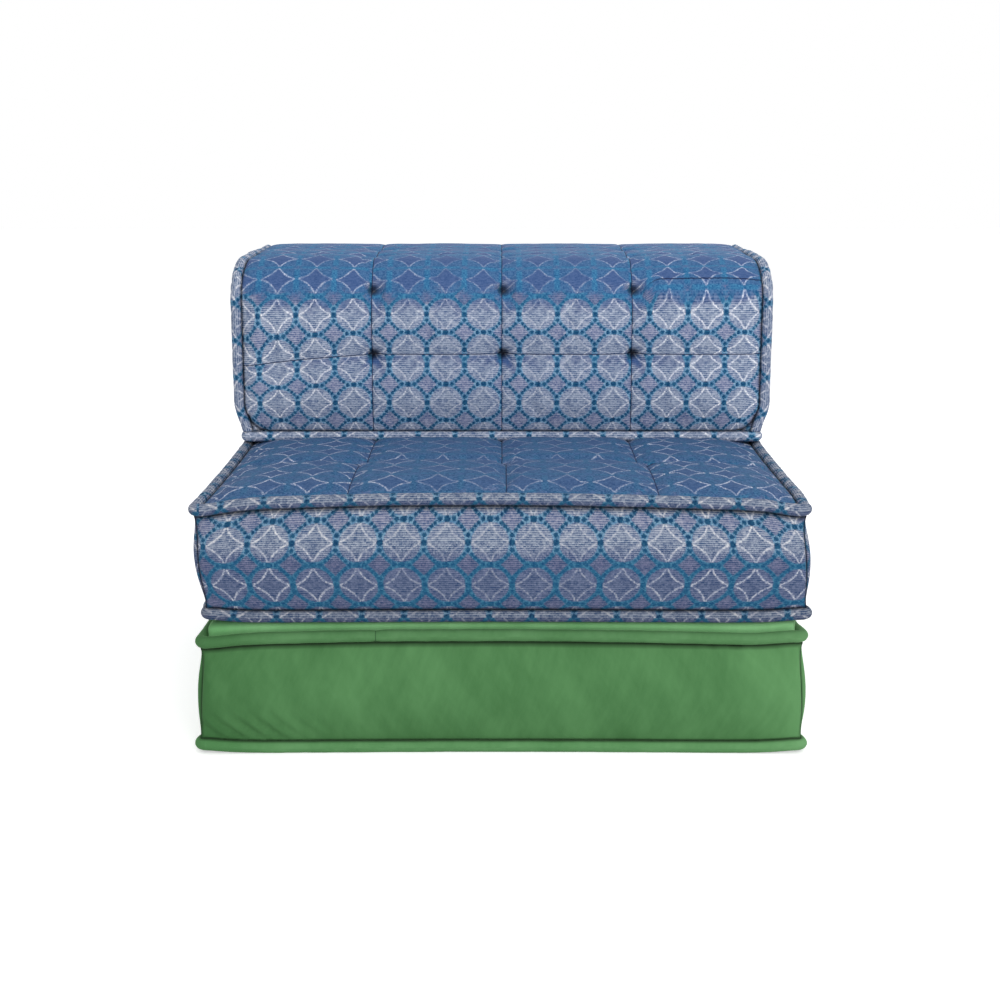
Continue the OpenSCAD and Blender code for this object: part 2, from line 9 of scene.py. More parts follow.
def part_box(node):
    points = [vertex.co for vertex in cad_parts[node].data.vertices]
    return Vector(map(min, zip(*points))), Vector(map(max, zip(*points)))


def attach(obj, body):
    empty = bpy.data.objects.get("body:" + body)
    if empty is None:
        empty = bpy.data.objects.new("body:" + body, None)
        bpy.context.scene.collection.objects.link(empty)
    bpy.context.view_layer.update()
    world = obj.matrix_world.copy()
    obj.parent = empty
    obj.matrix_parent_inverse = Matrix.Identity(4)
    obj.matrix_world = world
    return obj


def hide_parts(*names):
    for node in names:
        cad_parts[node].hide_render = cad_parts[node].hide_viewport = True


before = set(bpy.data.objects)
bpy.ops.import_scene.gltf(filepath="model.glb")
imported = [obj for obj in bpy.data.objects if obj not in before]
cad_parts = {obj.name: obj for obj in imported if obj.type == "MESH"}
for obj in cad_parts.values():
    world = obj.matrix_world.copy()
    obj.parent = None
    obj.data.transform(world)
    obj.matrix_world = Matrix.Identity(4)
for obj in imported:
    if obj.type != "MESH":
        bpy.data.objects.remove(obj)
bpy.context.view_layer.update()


# Sizes of the covers, in metres, as the solids have them

# Boxing bands: their cloth over the foam, how far they swell, and how they sink at the corners
BAND = 0.010
BAND_BULGE = 0.022
CORNER_SINK = 0.45
SINK_REACH = 0.011
# Rolled edges: their radius, the seam beside them, and how much they are flattened where they rest
ROLL = 0.010
SEAM = 0.0003
ROLL_OUT = ROLL + SEAM
FLAT = 0.0005
UNDER = 2 * ROLL + SEAM - FLAT
# Corners stand out past the drawn-in sides, and panels start that high over the foam
MATTRESS_EAR = 0.010
EAR_REACH = 0.022
PANEL_EDGE = 0.012
# How high over its foam each mattress carries what lies on it, and the fields across a quilting
BASE_REST = 0.040
SEAT_REST = 0.022
FIELDS = 4

# The bolster: height of its upright front, its nose and crest, its ears, how far it is drawn in
# below, its rows of tufts, and how far its panels swell
BOLSTER_FRONT = 0.2485
NOSE_RADIUS = 0.030
NOSE_ANGLE = math.radians(60)
CREST_RADIUS = 0.180
BOLSTER_EAR = 0.004
BOLSTER_TUCK = 0.016
TUFT_HEIGHT = 0.148
TUFT_LEAD = 0.030
TUFT_PITCH = 0.140
REAR_BULGE = 0.005
END_BULGE = 0.009

# Zips: the slot, how far out their tape lies, the teeth, and the height of the bolster's
ZIP_SLOT = 0.014
ZIP_OUT = 0.023
TOOTH_PITCH = 0.0024
TOOTH_SHARE = 0.62
BOLSTER_ZIP = 0.070

# How far the lower corners of a mattress curl up off what it lies on
CURL = 0.008
# Repeat of the woven pattern, on the mattress and on the bolster
MATTRESS_REPEAT = 0.0715
BOLSTER_REPEAT = 0.0700
# Edge of one cloth face in the mesh
CLOTH_FACE = 0.0055


class Core:
    """The foam block of a cushion, on which the pieces of its cover lie."""

    def __init__(self, body):
        low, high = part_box(body + "_foam_core")
        self.body = body
        self.half_width = (high.x - low.x) / 2
        self.half_depth = (high.y - low.y) / 2
        self.front = low.y
        self.rear = high.y
        self.bottom = low.z
        self.top = high.z
        self.height = high.z - low.z
        self.middle = (low.y + high.y) / 2


BASE, SEAT, BACK = Core("base"), Core("seat"), Core("back")


def clamp(value, low=0.0, high=1.0):
    return max(low, min(high, value))


def ease(value):
    """A smooth step from 0 to 1."""
    t = clamp(value)
    return t * t * (3 - 2 * t)


def bell(distance, reach):
    """1 at no distance, falling away on both sides within about that reach."""
    return math.exp(-(distance / reach) ** 2)


def dying(distance, reach):
    """1 at no distance, dying out over that reach."""
    return math.exp(-distance / reach)


def fade(u, v, power=16, power_along=None):
    """1 inside a panel, falling to 0 at its edges."""
    return (1 - abs(u) ** power) * (1 - abs(v) ** (power_along or power))


def grain(x, y, size, seed):
    """Smooth noise from -1 to 1 over a cloth, with features of about that size."""
    return noise.noise(Vector((x / size, y / size, seed)))


def added(name, data):
    """A new object of the scene."""
    thing = bpy.data.objects.new(name, data)
    bpy.context.scene.collection.objects.link(thing)
    return thing


# Cloth in the mesh


def finish_mesh(bm, name, body, node, finish):
    """Makes a piece of a finished bmesh, and lets it stand for the solid it covers. finish is its
    material with the slot that takes it."""
    material, material_slot = finish
    mesh = bpy.data.meshes.new(name)
    bm.to_mesh(mesh)
    bm.free()
    for face in mesh.polygons:
        face.use_smooth = True
    mesh.set_sharp_from_angle(angle=math.radians(70))
    mesh.materials.append(material)
    piece = added(name, mesh)
    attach(piece, body)
    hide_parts(node)
    return piece


def cloth_grid(columns, rows, pattern, seams=None):
    """An open sheet of cloth. Each corner of a face gets its place in the woven pattern."""
    bm = bmesh.new()
    bmesh.ops.create_grid(bm, x_segments=columns, y_segments=rows, size=1.0)
    across = bm.verts.layers.float.new("across")
    along = bm.verts.layers.float.new("along")
    for vert in bm.verts:
        vert[across], vert[along] = vert.co.x, vert.co.y
    cloth = bm.loops.layers.uv.new("cloth")
    sewn = bm.loops.layers.uv.new("sewn")
    for face in bm.faces:
        centre = face.calc_center_median()
        for loop in face.loops:
            u, v = loop.vert.co.x, loop.vert.co.y
            loop[cloth].uv = pattern(u, v, centre.x, centre.y)
            loop[sewn].uv = seams(u, v) if seams else (1.0, 1.0)
    return bm, across, along


def close_pad(bm, across, along, lining, curved):
    """Closes a sheet of cloth with a lining that lies on the foam, which may be curved."""
    if curved:
        copy = bmesh.ops.extrude_face_region(bm, geom=bm.faces[:], use_keep_orig=True)
    else:
        rim = [edge for edge in bm.edges if edge.is_boundary]
        copy = bmesh.ops.extrude_edge_only(bm, edges=rim)
    for item in copy["geom"]:
        if isinstance(item, bmesh.types.BMVert):
            item.co = lining(item[across], item[along])
    if not curved:
        open_edges = [edge for edge in bm.edges if edge.is_boundary]
        bmesh.ops.holes_fill(bm, edges=open_edges, sides=0)
    bmesh.ops.recalc_face_normals(bm, faces=bm.faces[:])


def pad(node, core, columns, rows, place, lining, pattern, finish, seams=None,
        quilting=None, curved=False, keep=None):
    """A panel of cloth: place(u, v) is its face and lining(u, v) its back, for -1 to 1. keep
    holds each point of the stuffed face in its room."""
    bm, across, along = cloth_grid(columns, rows, pattern, seams)
    for vert in bm.verts:
        vert.co = place(vert[across], vert[along])
    if quilting:
        stuff(bm, across, along, quilting)
    if keep:
        for vert in bm.verts:
            keep(vert.co)
    close_pad(bm, across, along, lining, curved)
    return finish_mesh(bm, node + "_cloth", core.body, node, finish)


STUFFING_FRAMES = 16
PRESSURE = 4.0
MOST_MOVE = 0.006


def stuff(bm, across, along, quilting):
    """Blows the panel up as stuffed cloth that is held where it is sewn, and keeps the result.
    quilting says how firmly each place is held, and how far it may move."""
    bm.normal_update()
    mesh = bpy.data.meshes.new("stuffing")
    bm.to_mesh(mesh)
    sheet = added("stuffing", mesh)
    group = sheet.vertex_groups.new(name="held")
    bm.verts.ensure_lookup_table()
    for vert in bm.verts:
        weight = quilting.held(vert[across], vert[along])
        if weight > 0:
            group.add([vert.index], weight, "REPLACE")
    cloth = sheet.modifiers.new("cloth", "CLOTH")
    settings = cloth.settings
    settings.quality = 5
    settings.mass = 0.3
    settings.tension_stiffness = 12
    settings.compression_stiffness = 12
    settings.shear_stiffness = 4
    settings.bending_stiffness = 0.3
    settings.air_damping = 4
    settings.use_pressure = True
    settings.uniform_pressure_force = PRESSURE
    settings.vertex_group_mass = "held"
    settings.pin_stiffness = 1.0
    settings.shrink_min = -0.02
    settings.effector_weights.gravity = 0
    cloth.point_cache.frame_start = 1
    cloth.point_cache.frame_end = STUFFING_FRAMES
    scene = bpy.context.scene
    for number in range(1, STUFFING_FRAMES + 1):
        scene.frame_set(number)
    shaped = sheet.evaluated_get(bpy.context.evaluated_depsgraph_get()).to_mesh()
    for vert in bm.verts:
        move = shaped.vertices[vert.index].co - vert.co
        most = quilting.give(vert[across], vert[along])
        if move.length > most:
            move.length = most
        vert.co += move
    scene.frame_set(1)
    bpy.data.objects.remove(sheet)
    bpy.data.meshes.remove(mesh)


# Woven and napped materials


class Term:
    """One value in a material's nodes, so that a pattern is written as sums."""

    def __init__(self, tree, socket):
        self.tree, self.socket = tree, socket

    def by(self, operation, *others, clamped=False):
        node = self.tree.nodes.new("ShaderNodeMath")
        node.operation = operation
        node.use_clamp = clamped
        for socket, value in zip(node.inputs, (self, *others)):
            feed(self.tree, value, socket)
        return Term(self.tree, node.outputs[0])

    __add__ = partialmethod(by, "ADD")
    __sub__ = partialmethod(by, "SUBTRACT")
    __mul__ = partialmethod(by, "MULTIPLY")
    __truediv__ = partialmethod(by, "DIVIDE")
    most = partialmethod(by, "MAXIMUM")
    least = partialmethod(by, "MINIMUM")
    size = partialmethod(by, "ABSOLUTE")
    floor = partialmethod(by, "FLOOR")
    wave = partialmethod(by, "SINE")
    kept = partialmethod(by, "ADD", 0.0, clamped=True)

    def flipped(self):
        """1 less the value."""
        return self * -1.0 + 1.0


def feed(tree, value, socket):
    """Links a term to a socket, or sets the socket to a plain number or colour."""
    if isinstance(value, Term):
        tree.links.new(value.socket, socket)
    else:
        socket.default_value = value


def pair(tree, x, y):
    """A vector of two values."""
    node = tree.nodes.new("ShaderNodeCombineXYZ")
    feed(tree, x, node.inputs[0])
    feed(tree, y, node.inputs[1])
    return node.outputs[0]


def apart(tree, socket):
    """The three values of a vector."""
    node = tree.nodes.new("ShaderNodeSeparateXYZ")
    tree.links.new(socket, node.inputs[0])
    return [Term(tree, output) for output in node.outputs]


def reach(x, y):
    """Distance of a point from the origin."""
    return (x * x + y * y).by("SQRT")


def within(distance, limit, soft):
    """1 where the distance is below the limit and 0 above, over a soft edge."""
    return ((distance * -1.0 + limit) / soft + 0.5).kept()


def ridges(distance, pitch):
    """Waves from 0 to 1 over a distance."""
    return (distance * (2 * math.pi / pitch)).wave() * 0.5 + 0.5


def speckle(tree, vector, scale, detail=2.0, roughness=0.5):
    node = tree.nodes.new("ShaderNodeTexNoise")
    tree.links.new(vector, node.inputs["Vector"])
    node.inputs["Scale"].default_value = scale
    node.inputs["Detail"].default_value = detail
    node.inputs["Roughness"].default_value = roughness
    return Term(tree, node.outputs[0])


def mixed(share, first, second):
    """A colour between two others."""
    tree = share.tree
    node = tree.nodes.new("ShaderNodeMix")
    node.data_type = "RGBA"
    for socket, value in ((0, share), (6, first), (7, second)):
        feed(tree, value, node.inputs[socket])
    return Term(tree, node.outputs[2])


def colour(red, green, blue):
    """A colour as the screen shows it, 0 to 255, made linear for the shader."""
    def linear(value):
        c = value / 255
        return c / 12.92 if c <= 0.04045 else ((c + 0.055) / 1.055) ** 2.4
    return (linear(red), linear(green), linear(blue), 1.0)


BLACK = (0.0, 0.0, 0.0, 1.0)
WHITE = (1.0, 1.0, 1.0, 1.0)


def new_material(name):
    material = bpy.data.materials.new(name)
    material.use_nodes = True
    tree = material.node_tree
    return material, tree, tree.nodes["Principled BSDF"]


def uv_socket(tree, name):
    node = tree.nodes.new("ShaderNodeUVMap")
    node.uv_map = name
    return node.outputs[0]


def object_place(tree):
    return tree.nodes.new("ShaderNodeTexCoord").outputs["Object"]


def facing(tree):
    """How far the surface faces up, from -1 to 1, in the object's own frame."""
    geometry = tree.nodes.new("ShaderNodeNewGeometry")
    return apart(tree, geometry.outputs["Normal"])[2]


def raised(tree, surface, height, distance, strength=1.0):
    bump = tree.nodes.new("ShaderNodeBump")
    bump.inputs["Strength"].default_value = strength
    bump.inputs["Distance"].default_value = distance
    feed(tree, height, bump.inputs["Height"])
    tree.links.new(bump.outputs[0], surface.inputs["Normal"])


# The jacquard's threads: how high a weft float is, how wide a warp float, and the ribs' pitch
WEFT = 0.0017
WARP = 0.0012
RIB = 0.0035
# Half the width of a line of stitches, how far beside it the cloth is pressed down, and how far
# the shade beside a rolled edge or a tuft reaches
SEAM_LINE = 0.0010
SEAM_REACH = 0.004
SHADE_REACH = 0.0055
# The figures of the pattern, as shares of its repeat. Four arcs make a star: their radius, how far
# their middles lie beyond the star's corners, half their width and where they end
ARC_RADIUS = 0.70
ARC_BACK = 0.170
ARC_HALF = 0.018
ARC_END = 0.452
MEDALLION = 0.437
LOZENGE = 0.262
# Dots of the net, as (across, along, radius), and how far out and how wide the ring round one is
DOTS = ((0.5, 0.0, 0.076), (0.5, 0.165, 0.055), (0.411, 0.267, 0.046), (0.346, 0.346, 0.046))
RING_OUT = 0.030
RING_HALF = 0.013


class Look:
    """One state of the jacquard, with a dark and a light thread for each figure. The states are
    painted sheen and painted shade: which of them shows depends on how far the cloth faces up.
    Without dots, only its stars and a plain net show."""

    def __init__(self, star, lens, halo, corner, arc, ring=None, dot=None):
        self.star, self.lens, self.halo = threads(star), threads(lens), threads(halo)
        self.corner, self.arc = threads(corner), threads(arc)
        self.ring, self.dot = threads(ring), threads(dot)


def threads(tones):
    return [colour(*tone) for tone in tones] if tones else None


# Painted sheen and shade of the satin: the silver look is its brightest painted sheen, the dusk look
# a dimmer one that also paints shade where the seat's front faces down, and the deep and dark looks
# are the cloth with little sheen, on the tops
SILVER_SHEEN = Look(star=((42, 78, 126), (198, 206, 220)), lens=((48, 84, 132), (202, 208, 222)),
              halo=((58, 114, 156), (120, 168, 196)), corner=((52, 84, 134), (192, 194, 212)),
              arc=((196, 202, 222), (252, 252, 254)), ring=((108, 156, 198), (160, 192, 218)),
              dot=((8, 58, 100), (30, 92, 130)))
DUSK = Look(star=((38, 66, 110), (136, 146, 176)), lens=((38, 68, 114), (142, 150, 180)),
            halo=((40, 98, 138), (84, 144, 172)), corner=((40, 70, 114), (138, 142, 172)),
            arc=((150, 162, 194), (226, 228, 238)), ring=((36, 96, 142), (70, 136, 172)),
            dot=((22, 80, 124), (44, 110, 148)))
DEEP = Look(star=((50, 78, 128), (86, 110, 154)), lens=((36, 78, 128), (82, 122, 164)),
            halo=((22, 88, 138), (62, 140, 180)), corner=((48, 84, 132), (120, 108, 146)),
            arc=((128, 150, 190), (200, 208, 228)))
DARK = Look(star=((38, 68, 112), (80, 108, 148)), lens=((32, 68, 112), (78, 112, 150)),
            halo=((26, 72, 114), (64, 114, 150)), corner=((46, 76, 124), (86, 108, 154)),
            arc=((132, 150, 188), (220, 224, 236)))


def jacquard(name, repeat, first_look, looks, tone=1.0):
    """Satin jacquard: stars in round medallions, and dots in a net between them. looks is a list of
    (look, from, to): the look that takes over as the surface turns up from one to the other, so that
    sheen and shade are painted by how the surface faces. tone is painted shade over the whole cloth,
    applied in stitched."""
    material, tree, surface = new_material(name)
    place = uv_socket(tree, "cloth")
    u, v, _ = apart(tree, place)

    def scatter(wide, high):
        """A random value for each float of thread."""
        cell = tree.nodes.new("ShaderNodeTexWhiteNoise")
        cell.noise_dimensions = "2D"
        spot = pair(tree, (u / wide).floor(), (v / high).floor())
        tree.links.new(spot, cell.inputs["Vector"])
        return Term(tree, cell.outputs["Value"])

    fleck = scatter(WARP, WEFT)
    heather = scatter(2.4 * WARP, 1.3 * WEFT)
    dash = scatter(4.4 * WARP, RIB)
    a = (((u / WARP).floor() + 0.5) * WARP / repeat + 0.5).by("FRACT") - 0.5
    b = (((v / WEFT).floor() + 0.5) * WEFT / repeat + 0.5).by("FRACT") - 0.5
    a, b = a.size(), b.size()
    far, near = a.most(b), a.least(b)
    ragged = (fleck - 0.5) * 0.03
    corner = reach(a * -1.0 + 0.5, b * -1.0 + 0.5)
    medallion = within(reach(a, b) + ragged, MEDALLION, 0.025)
    lozenge = within(a * -1.0 - b + 1.0 + ragged, LOZENGE, 0.03)
    halo = medallion.most(lozenge).flipped()
    bend = reach(a * -1.0 + (0.5 + ARC_BACK), b * -1.0 + (0.5 + ARC_BACK))
    star = within(bend * -1.0, -ARC_RADIUS, 0.02)
    arc = within((bend - ARC_RADIUS).size() + ragged * 0.8, ARC_HALF, 0.020)
    arc = arc * within(far, ARC_END, 0.02)
    bars = within(far * -1.0 + 0.5, 0.075, 0.05)
    core = within(corner, 0.09, 0.14) * (heather * 0.6 + 0.2)
    dots, rings = None, None
    for x, y, radius in DOTS:
        gap = reach(far - x, near - y) + ragged
        spot = within(gap, radius, 0.025)
        ring = within((gap - (radius + RING_OUT)).size(), RING_HALF, 0.02)
        dots = dots.most(spot) if dots else spot
        rings = rings.most(ring) if rings else ring
    ribs = ridges(v, RIB)
    rib = (ribs * 0.50 + dash * 0.34 + heather * 0.30 + fleck * 0.24 - 0.26).kept()
    salt = (heather * 0.75 + fleck * 0.5 - 0.12).kept()

    across, _, _ = apart(tree, object_place(tree))
    at_ends = ((across.size() - 0.10) / 0.26).kept()
    arc_share = arc * (heather * 0.3 + 0.7) * (at_ends * 0.55 + 0.45)
    worn = ((speckle(tree, place, 16.0) - 0.40) * 6.0).kept() * 0.6 + 0.4
    around = star.flipped()

    def laid(cloth, share, floats, tones):
        """The cloth with more thread over it, of two tones mixed as its floats fall."""
        return mixed(share, cloth, mixed(floats, *tones))

    def shown(look):
        cloth = laid(mixed(rib, *look.lens), star, rib, look.star)
        if not look.dot:
            cloth = laid(cloth, around * 0.8, salt, look.lens)
            cloth = laid(cloth, bars * around * 0.6, salt, look.halo)
            cloth = laid(cloth, core, salt, look.corner)
            return laid(cloth, arc_share * worn, heather, look.arc)
        cloth = laid(cloth, lozenge, rib, look.corner)
        cloth = mixed(core * 0.18, cloth, colour(152, 134, 170))
        cloth = laid(cloth, halo * 0.95, heather, look.halo)
        cloth = laid(cloth, rings * halo * 0.6, heather, look.ring)
        cloth = laid(cloth, arc_share * medallion, heather, look.arc)
        return laid(cloth, dots * 0.95, heather, look.dot)

    # Painted sheen and shade: how far the surface faces up, with a little noise, chooses the look
    up = facing(tree) + (speckle(tree, place, 60.0) - 0.5) * 0.10 + (fleck - 0.5) * 0.08
    cloth = shown(first_look)
    for look, start, end in looks:
        cloth = mixed(((up - start) / (end - start)).kept(), cloth, shown(look))
    cloth, stitches = stitched(tree, cloth, colour(26, 34, 66), tone)
    feed(tree, cloth, surface.inputs["Base Color"])
    surface.inputs["Roughness"].default_value = 0.75
    surface.inputs["Sheen Weight"].default_value = 0.03
    surface.inputs["Sheen Roughness"].default_value = 0.4
    surface.inputs["Specular IOR Level"].default_value = 0.10
    raised(tree, surface, rib * 0.6 + arc * 0.4 + dots * 0.3 + stitches * 3.0, 0.0004, 0.8)
    return material, BLUE


def stitched(tree, cloth, thread, tone=1.0):
    """Adds stitch lines, and painted shade beside rolled edges, corner seams and tufts, and gives
    the cloth with its height beside the stitches. The first value of the map is the distance to a
    line of stitches, and the second one that to such an edge or tuft, below 0 beyond a rounded
    corner. A tone below 1 paints shade over the whole cloth; above 1 it weakens the painted shade
    beside the edges."""
    sewn, edge, _ = apart(tree, uv_socket(tree, "sewn"))
    cloth = mixed(within(sewn, SEAM_LINE, 0.0009) * 0.85, cloth, thread)
    # Painted shade: darker within SHADE_REACH of a rolled edge, corner seam or tuft, and over the
    # whole piece as its tone falls below 1
    shade = (edge.size() / SHADE_REACH).kept() * 0.85 + 0.15
    return mixed(shade * tone, BLACK, cloth), (sewn / SEAM_REACH).kept()


def velvet(name, dark, light, sheen):
    """Short pile velvet, with blotches where the nap lies another way, painted light towards its
    right end and painted shade towards its left end.
    """
    material, tree, surface = new_material(name)
    place = uv_socket(tree, "cloth")
    across, _, _ = apart(tree, object_place(tree))
    u, v, _ = apart(tree, place)
    nap = speckle(tree, pair(tree, u + v * 0.35, v * 0.45), 11.0, detail=4.0, roughness=0.6)
    brushed = speckle(tree, pair(tree, u - v * 0.3, v * 0.25), 60.0, detail=4.0, roughness=0.6)
    pile = speckle(tree, place, 900.0, detail=2.0)
    # Painted light and shade: the velvet is made lighter towards its right end and darker towards
    # its left, as its nap catches the light there
    ends = ((across - 0.36) / 0.14).kept() * 0.55 - ((across * -1.0 - 0.38) / 0.14).kept() * 0.55
    blotch = ((nap - 0.5) * 1.6 + (brushed - 0.5) * 0.55 + ends + 0.42).kept()
    cloth = mixed(blotch, dark, light)
    cloth = mixed((pile - 0.35).kept() * 0.35, cloth, light)
    cloth, stitches = stitched(tree, cloth, colour(20, 58, 30))
    feed(tree, cloth, surface.inputs["Base Color"])
    surface.inputs["Roughness"].default_value = 0.85
    surface.inputs["Specular IOR Level"].default_value = 0.2
    surface.inputs["Sheen Weight"].default_value = sheen
    surface.inputs["Sheen Roughness"].default_value = 0.35
    surface.inputs["Sheen Tint"].default_value = colour(170, 226, 160)
    raised(tree, surface, pile * 0.6 + brushed * 0.8 + stitches * 2.0, 0.0004, 0.7)
    return material, GREEN


def metal(name, tone):
    """Satin nickel, with fine brushing."""
    material, tree, surface = new_material(name)
    coordinates = object_place(tree)
    brushed = speckle(tree, coordinates, 1400.0, detail=3.0)
    wear = speckle(tree, coordinates, 240.0)
    feed(tree, mixed(wear, tone, colour(214, 214, 218)), surface.inputs["Base Color"])
    surface.inputs["Metallic"].default_value = 1.0
    feed(tree, brushed * 0.2 + 0.22, surface.inputs["Roughness"])
    raised(tree, surface, brushed, 0.00005, 0.4)
    return material


def fibrous(name, dark, light, scale, roughness=0.9):
    """Foam, twine, tape or moulded teeth: two tones at a small scale."""
    material, tree, surface = new_material(name)
    coordinates = object_place(tree)
    cells = speckle(tree, coordinates, scale, detail=3.0)
    tones = mixed(((cells - 0.35) * 3.0).kept(), dark, light)
    feed(tree, tones, surface.inputs["Base Color"])
    surface.inputs["Roughness"].default_value = roughness
    raised(tree, surface, cells, 0.0004, 0.6)
    return material


# The zip tape's twill, and how far from its middle the selvedge starts
TWILL = 0.0017
SELVEDGE = 0.0050


def woven_tape(name, dark, light):
    """Herringbone zip tape with a corded selvedge; its map runs along it and up from its middle."""
    material, tree, surface = new_material(name)
    place = uv_socket(tree, "cloth")
    u, v, _ = apart(tree, place)
    twill = ridges(u + v.size(), TWILL)
    selvedge = within(v.size() * -1.0, -SELVEDGE, 0.0006)
    fuzz = speckle(tree, place, 1500.0)
    cloth = mixed((twill * 0.6 + fuzz * 0.5 - selvedge * 0.3).kept(), dark, light)
    feed(tree, cloth, surface.inputs["Base Color"])
    surface.inputs["Roughness"].default_value = 0.85
    raised(tree, surface, twill * 0.7 + fuzz * 0.3 + selvedge, 0.0003, 0.8)
    return material


# Jacquard for a roll: the dusk look, with the silver look's painted sheen as it faces up, and a tone
# that darkens the whole roll as painted shade when below 1
def roll_jacquard(name, sheen_from, sheen_to, tone):
    return jacquard(name, BOLSTER_REPEAT, DUSK, [(SILVER_SHEEN, sheen_from, sheen_to)], tone)


# Cloths with their slots, and the other materials

GREEN, BLUE = "green_velvet", "blue_jacquard"

# These jacquards are copies of one cloth that differ in where their painted sheen shows and in their
# tone: a tone below 1 is painted shade over the whole piece, strongest on the seat's lower roll, and
# the bolster's lower roll, above 1, keeps its painted sheen almost everywhere
SEAT_FRONT = jacquard("jacquard_seat_front", MATTRESS_REPEAT, DUSK, [(SILVER_SHEEN, 0.02, 0.16)], 0.72)
SEAT_TOP = jacquard("jacquard_seat_top", MATTRESS_REPEAT, DUSK, [(DARK, 0.80, 0.92)])
BOLSTER_CLOTH = jacquard("jacquard_bolster", BOLSTER_REPEAT, SILVER_SHEEN,
                         [(DUSK, 0.18, 0.36), (DEEP, 0.32, 0.56)])
SEAT_ROLL = roll_jacquard("jacquard_seat_roll", -0.3, 0.2, 0.62)
SEAT_LOW_ROLL = roll_jacquard("jacquard_seat_low_roll", -0.2, 0.3, 0.52)
BOLSTER_ROLL = roll_jacquard("jacquard_bolster_roll", -0.4, 0.1, 0.90)
BOLSTER_LOW_ROLL = roll_jacquard("jacquard_bolster_low_roll", -0.9, -0.5, 1.08)
# The velvets are copies of one cloth: the rolls' copies are painted lighter, and the copy on the
# base's top panel much lighter, as painted light where the seat casts its shade
VELVET = velvet("velvet", colour(60, 106, 60), colour(92, 142, 90), 0.25)
VELVET_ROLL = velvet("velvet_rolls", colour(66, 112, 66), colour(96, 142, 94), 0.35)
VELVET_LOW_ROLL = velvet("velvet_low_roll", colour(76, 128, 76), colour(108, 158, 106), 0.35)
LIT_VELVET_TOP = velvet("velvet_top", colour(108, 168, 108), colour(142, 200, 140), 0.4)
GREEN_TAPE = woven_tape("zip_tape_green", colour(34, 92, 44), colour(70, 138, 74))
BLUE_TAPE = woven_tape("zip_tape_blue", colour(42, 58, 100), colour(84, 104, 156))
FOAM = fibrous("foam", colour(214, 200, 150), colour(238, 228, 188), 700.0)
TWINE = fibrous("twine", colour(180, 172, 156), colour(228, 222, 208), 1500.0)
GREEN_TEETH = fibrous("zip_teeth_green", colour(28, 84, 38), colour(52, 118, 58), 500.0, 0.4)
BLUE_TEETH = fibrous("zip_teeth_blue", colour(38, 54, 98), colour(66, 86, 140), 500.0, 0.4)
NICKEL = metal("satin_nickel", colour(176, 176, 182))


# Mattresses: the base in velvet and the seat in jacquard

# How far the stuffing draws a corner out of true, and how far a lower corner's curl reaches
# along the mattress and up it
CORNER_REACH = 0.045
CURL_REACH = 0.035
CURL_HEIGHT = 0.05
# How far ahead of its middle the bow of a mattress's upper edge starts
BOW_FROM = 0.10


class Mattress:
    """What the two mattresses differ in. corners lists the front corners that are out of true, as
    (side, upper, shift, drop), corner_line widens or narrows the stitches of the corner seams, and
    join is the distance along the upper roll at which its cloth is joined."""

    def __init__(self, core, bow, corners, cloths, corner_line, join, pulls=None, rope=None):
        self.core, self.bow, self.corners = core, bow, corners
        self.band_finish, self.panel_finish, self.roll_finish, self.low_roll_finish = cloths
        self.corner_line, self.join, self.pulls, self.rope = corner_line, join, pulls, rope

    def lift(self, x, y, z):
        """How far the stuffing bows the front upper edge up between its corners."""
        core = self.core
        side = x / (core.half_width + ROLL_OUT)
        share = clamp(1 - side ** 2) * (1 - 0.25 * side)
        front = ease((-y - BOW_FROM) / (core.half_depth - BOW_FROM))
        height = clamp((z - core.bottom) / core.height) ** 2
        return self.bow * share * front * height + self.curl(x, y, z)

    def settle(self, spot):
        """Draws the front corners out of true, as stuffed corners are."""
        core = self.core
        for side, top, shift, drop in self.corners:
            height = core.top + ROLL if top else core.bottom - ROLL
            gap = math.hypot(side * (core.half_width + ROLL_OUT) - spot.x,
                             core.half_depth + ROLL_OUT + spot.y, 0.6 * (height - spot.z))
            near = bell(gap, CORNER_REACH)
            spot.x += side * shift * near
            spot.z -= drop * near
        return spot

    def curl(self, x, y, z):
        """How far a lower corner curls up."""
        core = self.core
        gap = math.hypot(core.half_width + ROLL_OUT - abs(x), core.half_depth + ROLL_OUT - abs(y))
        return CURL * dying(gap, CURL_REACH) * clamp(1 - (z - core.bottom) / CURL_HEIGHT)


def band_out(mattress, p, t):
    """How far a boxing band stands out, for p from -1 to 1 along it and t from 0 to 1 up. It
    swells at mid height, sinks to its corner seams and follows the rolls out to the corners."""
    core = mattress.core
    swell = math.sin(math.pi * clamp(t)) ** 0.8 if 0 < t < 1 else 0.0
    sink = (CORNER_SINK + 0.30 * clamp(t) ** 2) * dying((1 - abs(p)) * core.half_width, SINK_REACH)
    drawn = MATTRESS_EAR * p * p * dying(min(t, 1 - t) * core.height, EAR_REACH)
    return BAND + drawn + BAND_BULGE * swell * (1 - sink)


def gathers(x, t, height, seed):
    """Small gathers where the band is sewn to the rolls, and soft folds between them."""
    under, over = (1 - t) * height, t * height
    fine = math.sin(x / 0.0024 + 4 * grain(x, 0, 0.03, seed))
    fine *= 0.4 + 0.6 * grain(x, 1.0, 0.05, seed)
    folds = 0.0007 * fine * (dying(under, 0.012) + 0.7 * dying(over, 0.010))
    folds += 0.0016 * grain(x + 0.25 * over, over * 0.3, 0.020, seed + 5) * dying(over, 0.028)
    return folds + 0.0012 * grain(x, under * 0.3, 0.030, seed + 7) * dying(under, 0.030)


# Upright folds of the base's front, as (place, depth)
VELVET_FOLDS = ((-0.218, 0.0024), (-0.160, 0.0012), (-0.128, 0.0012), (0.372, 0.0010))


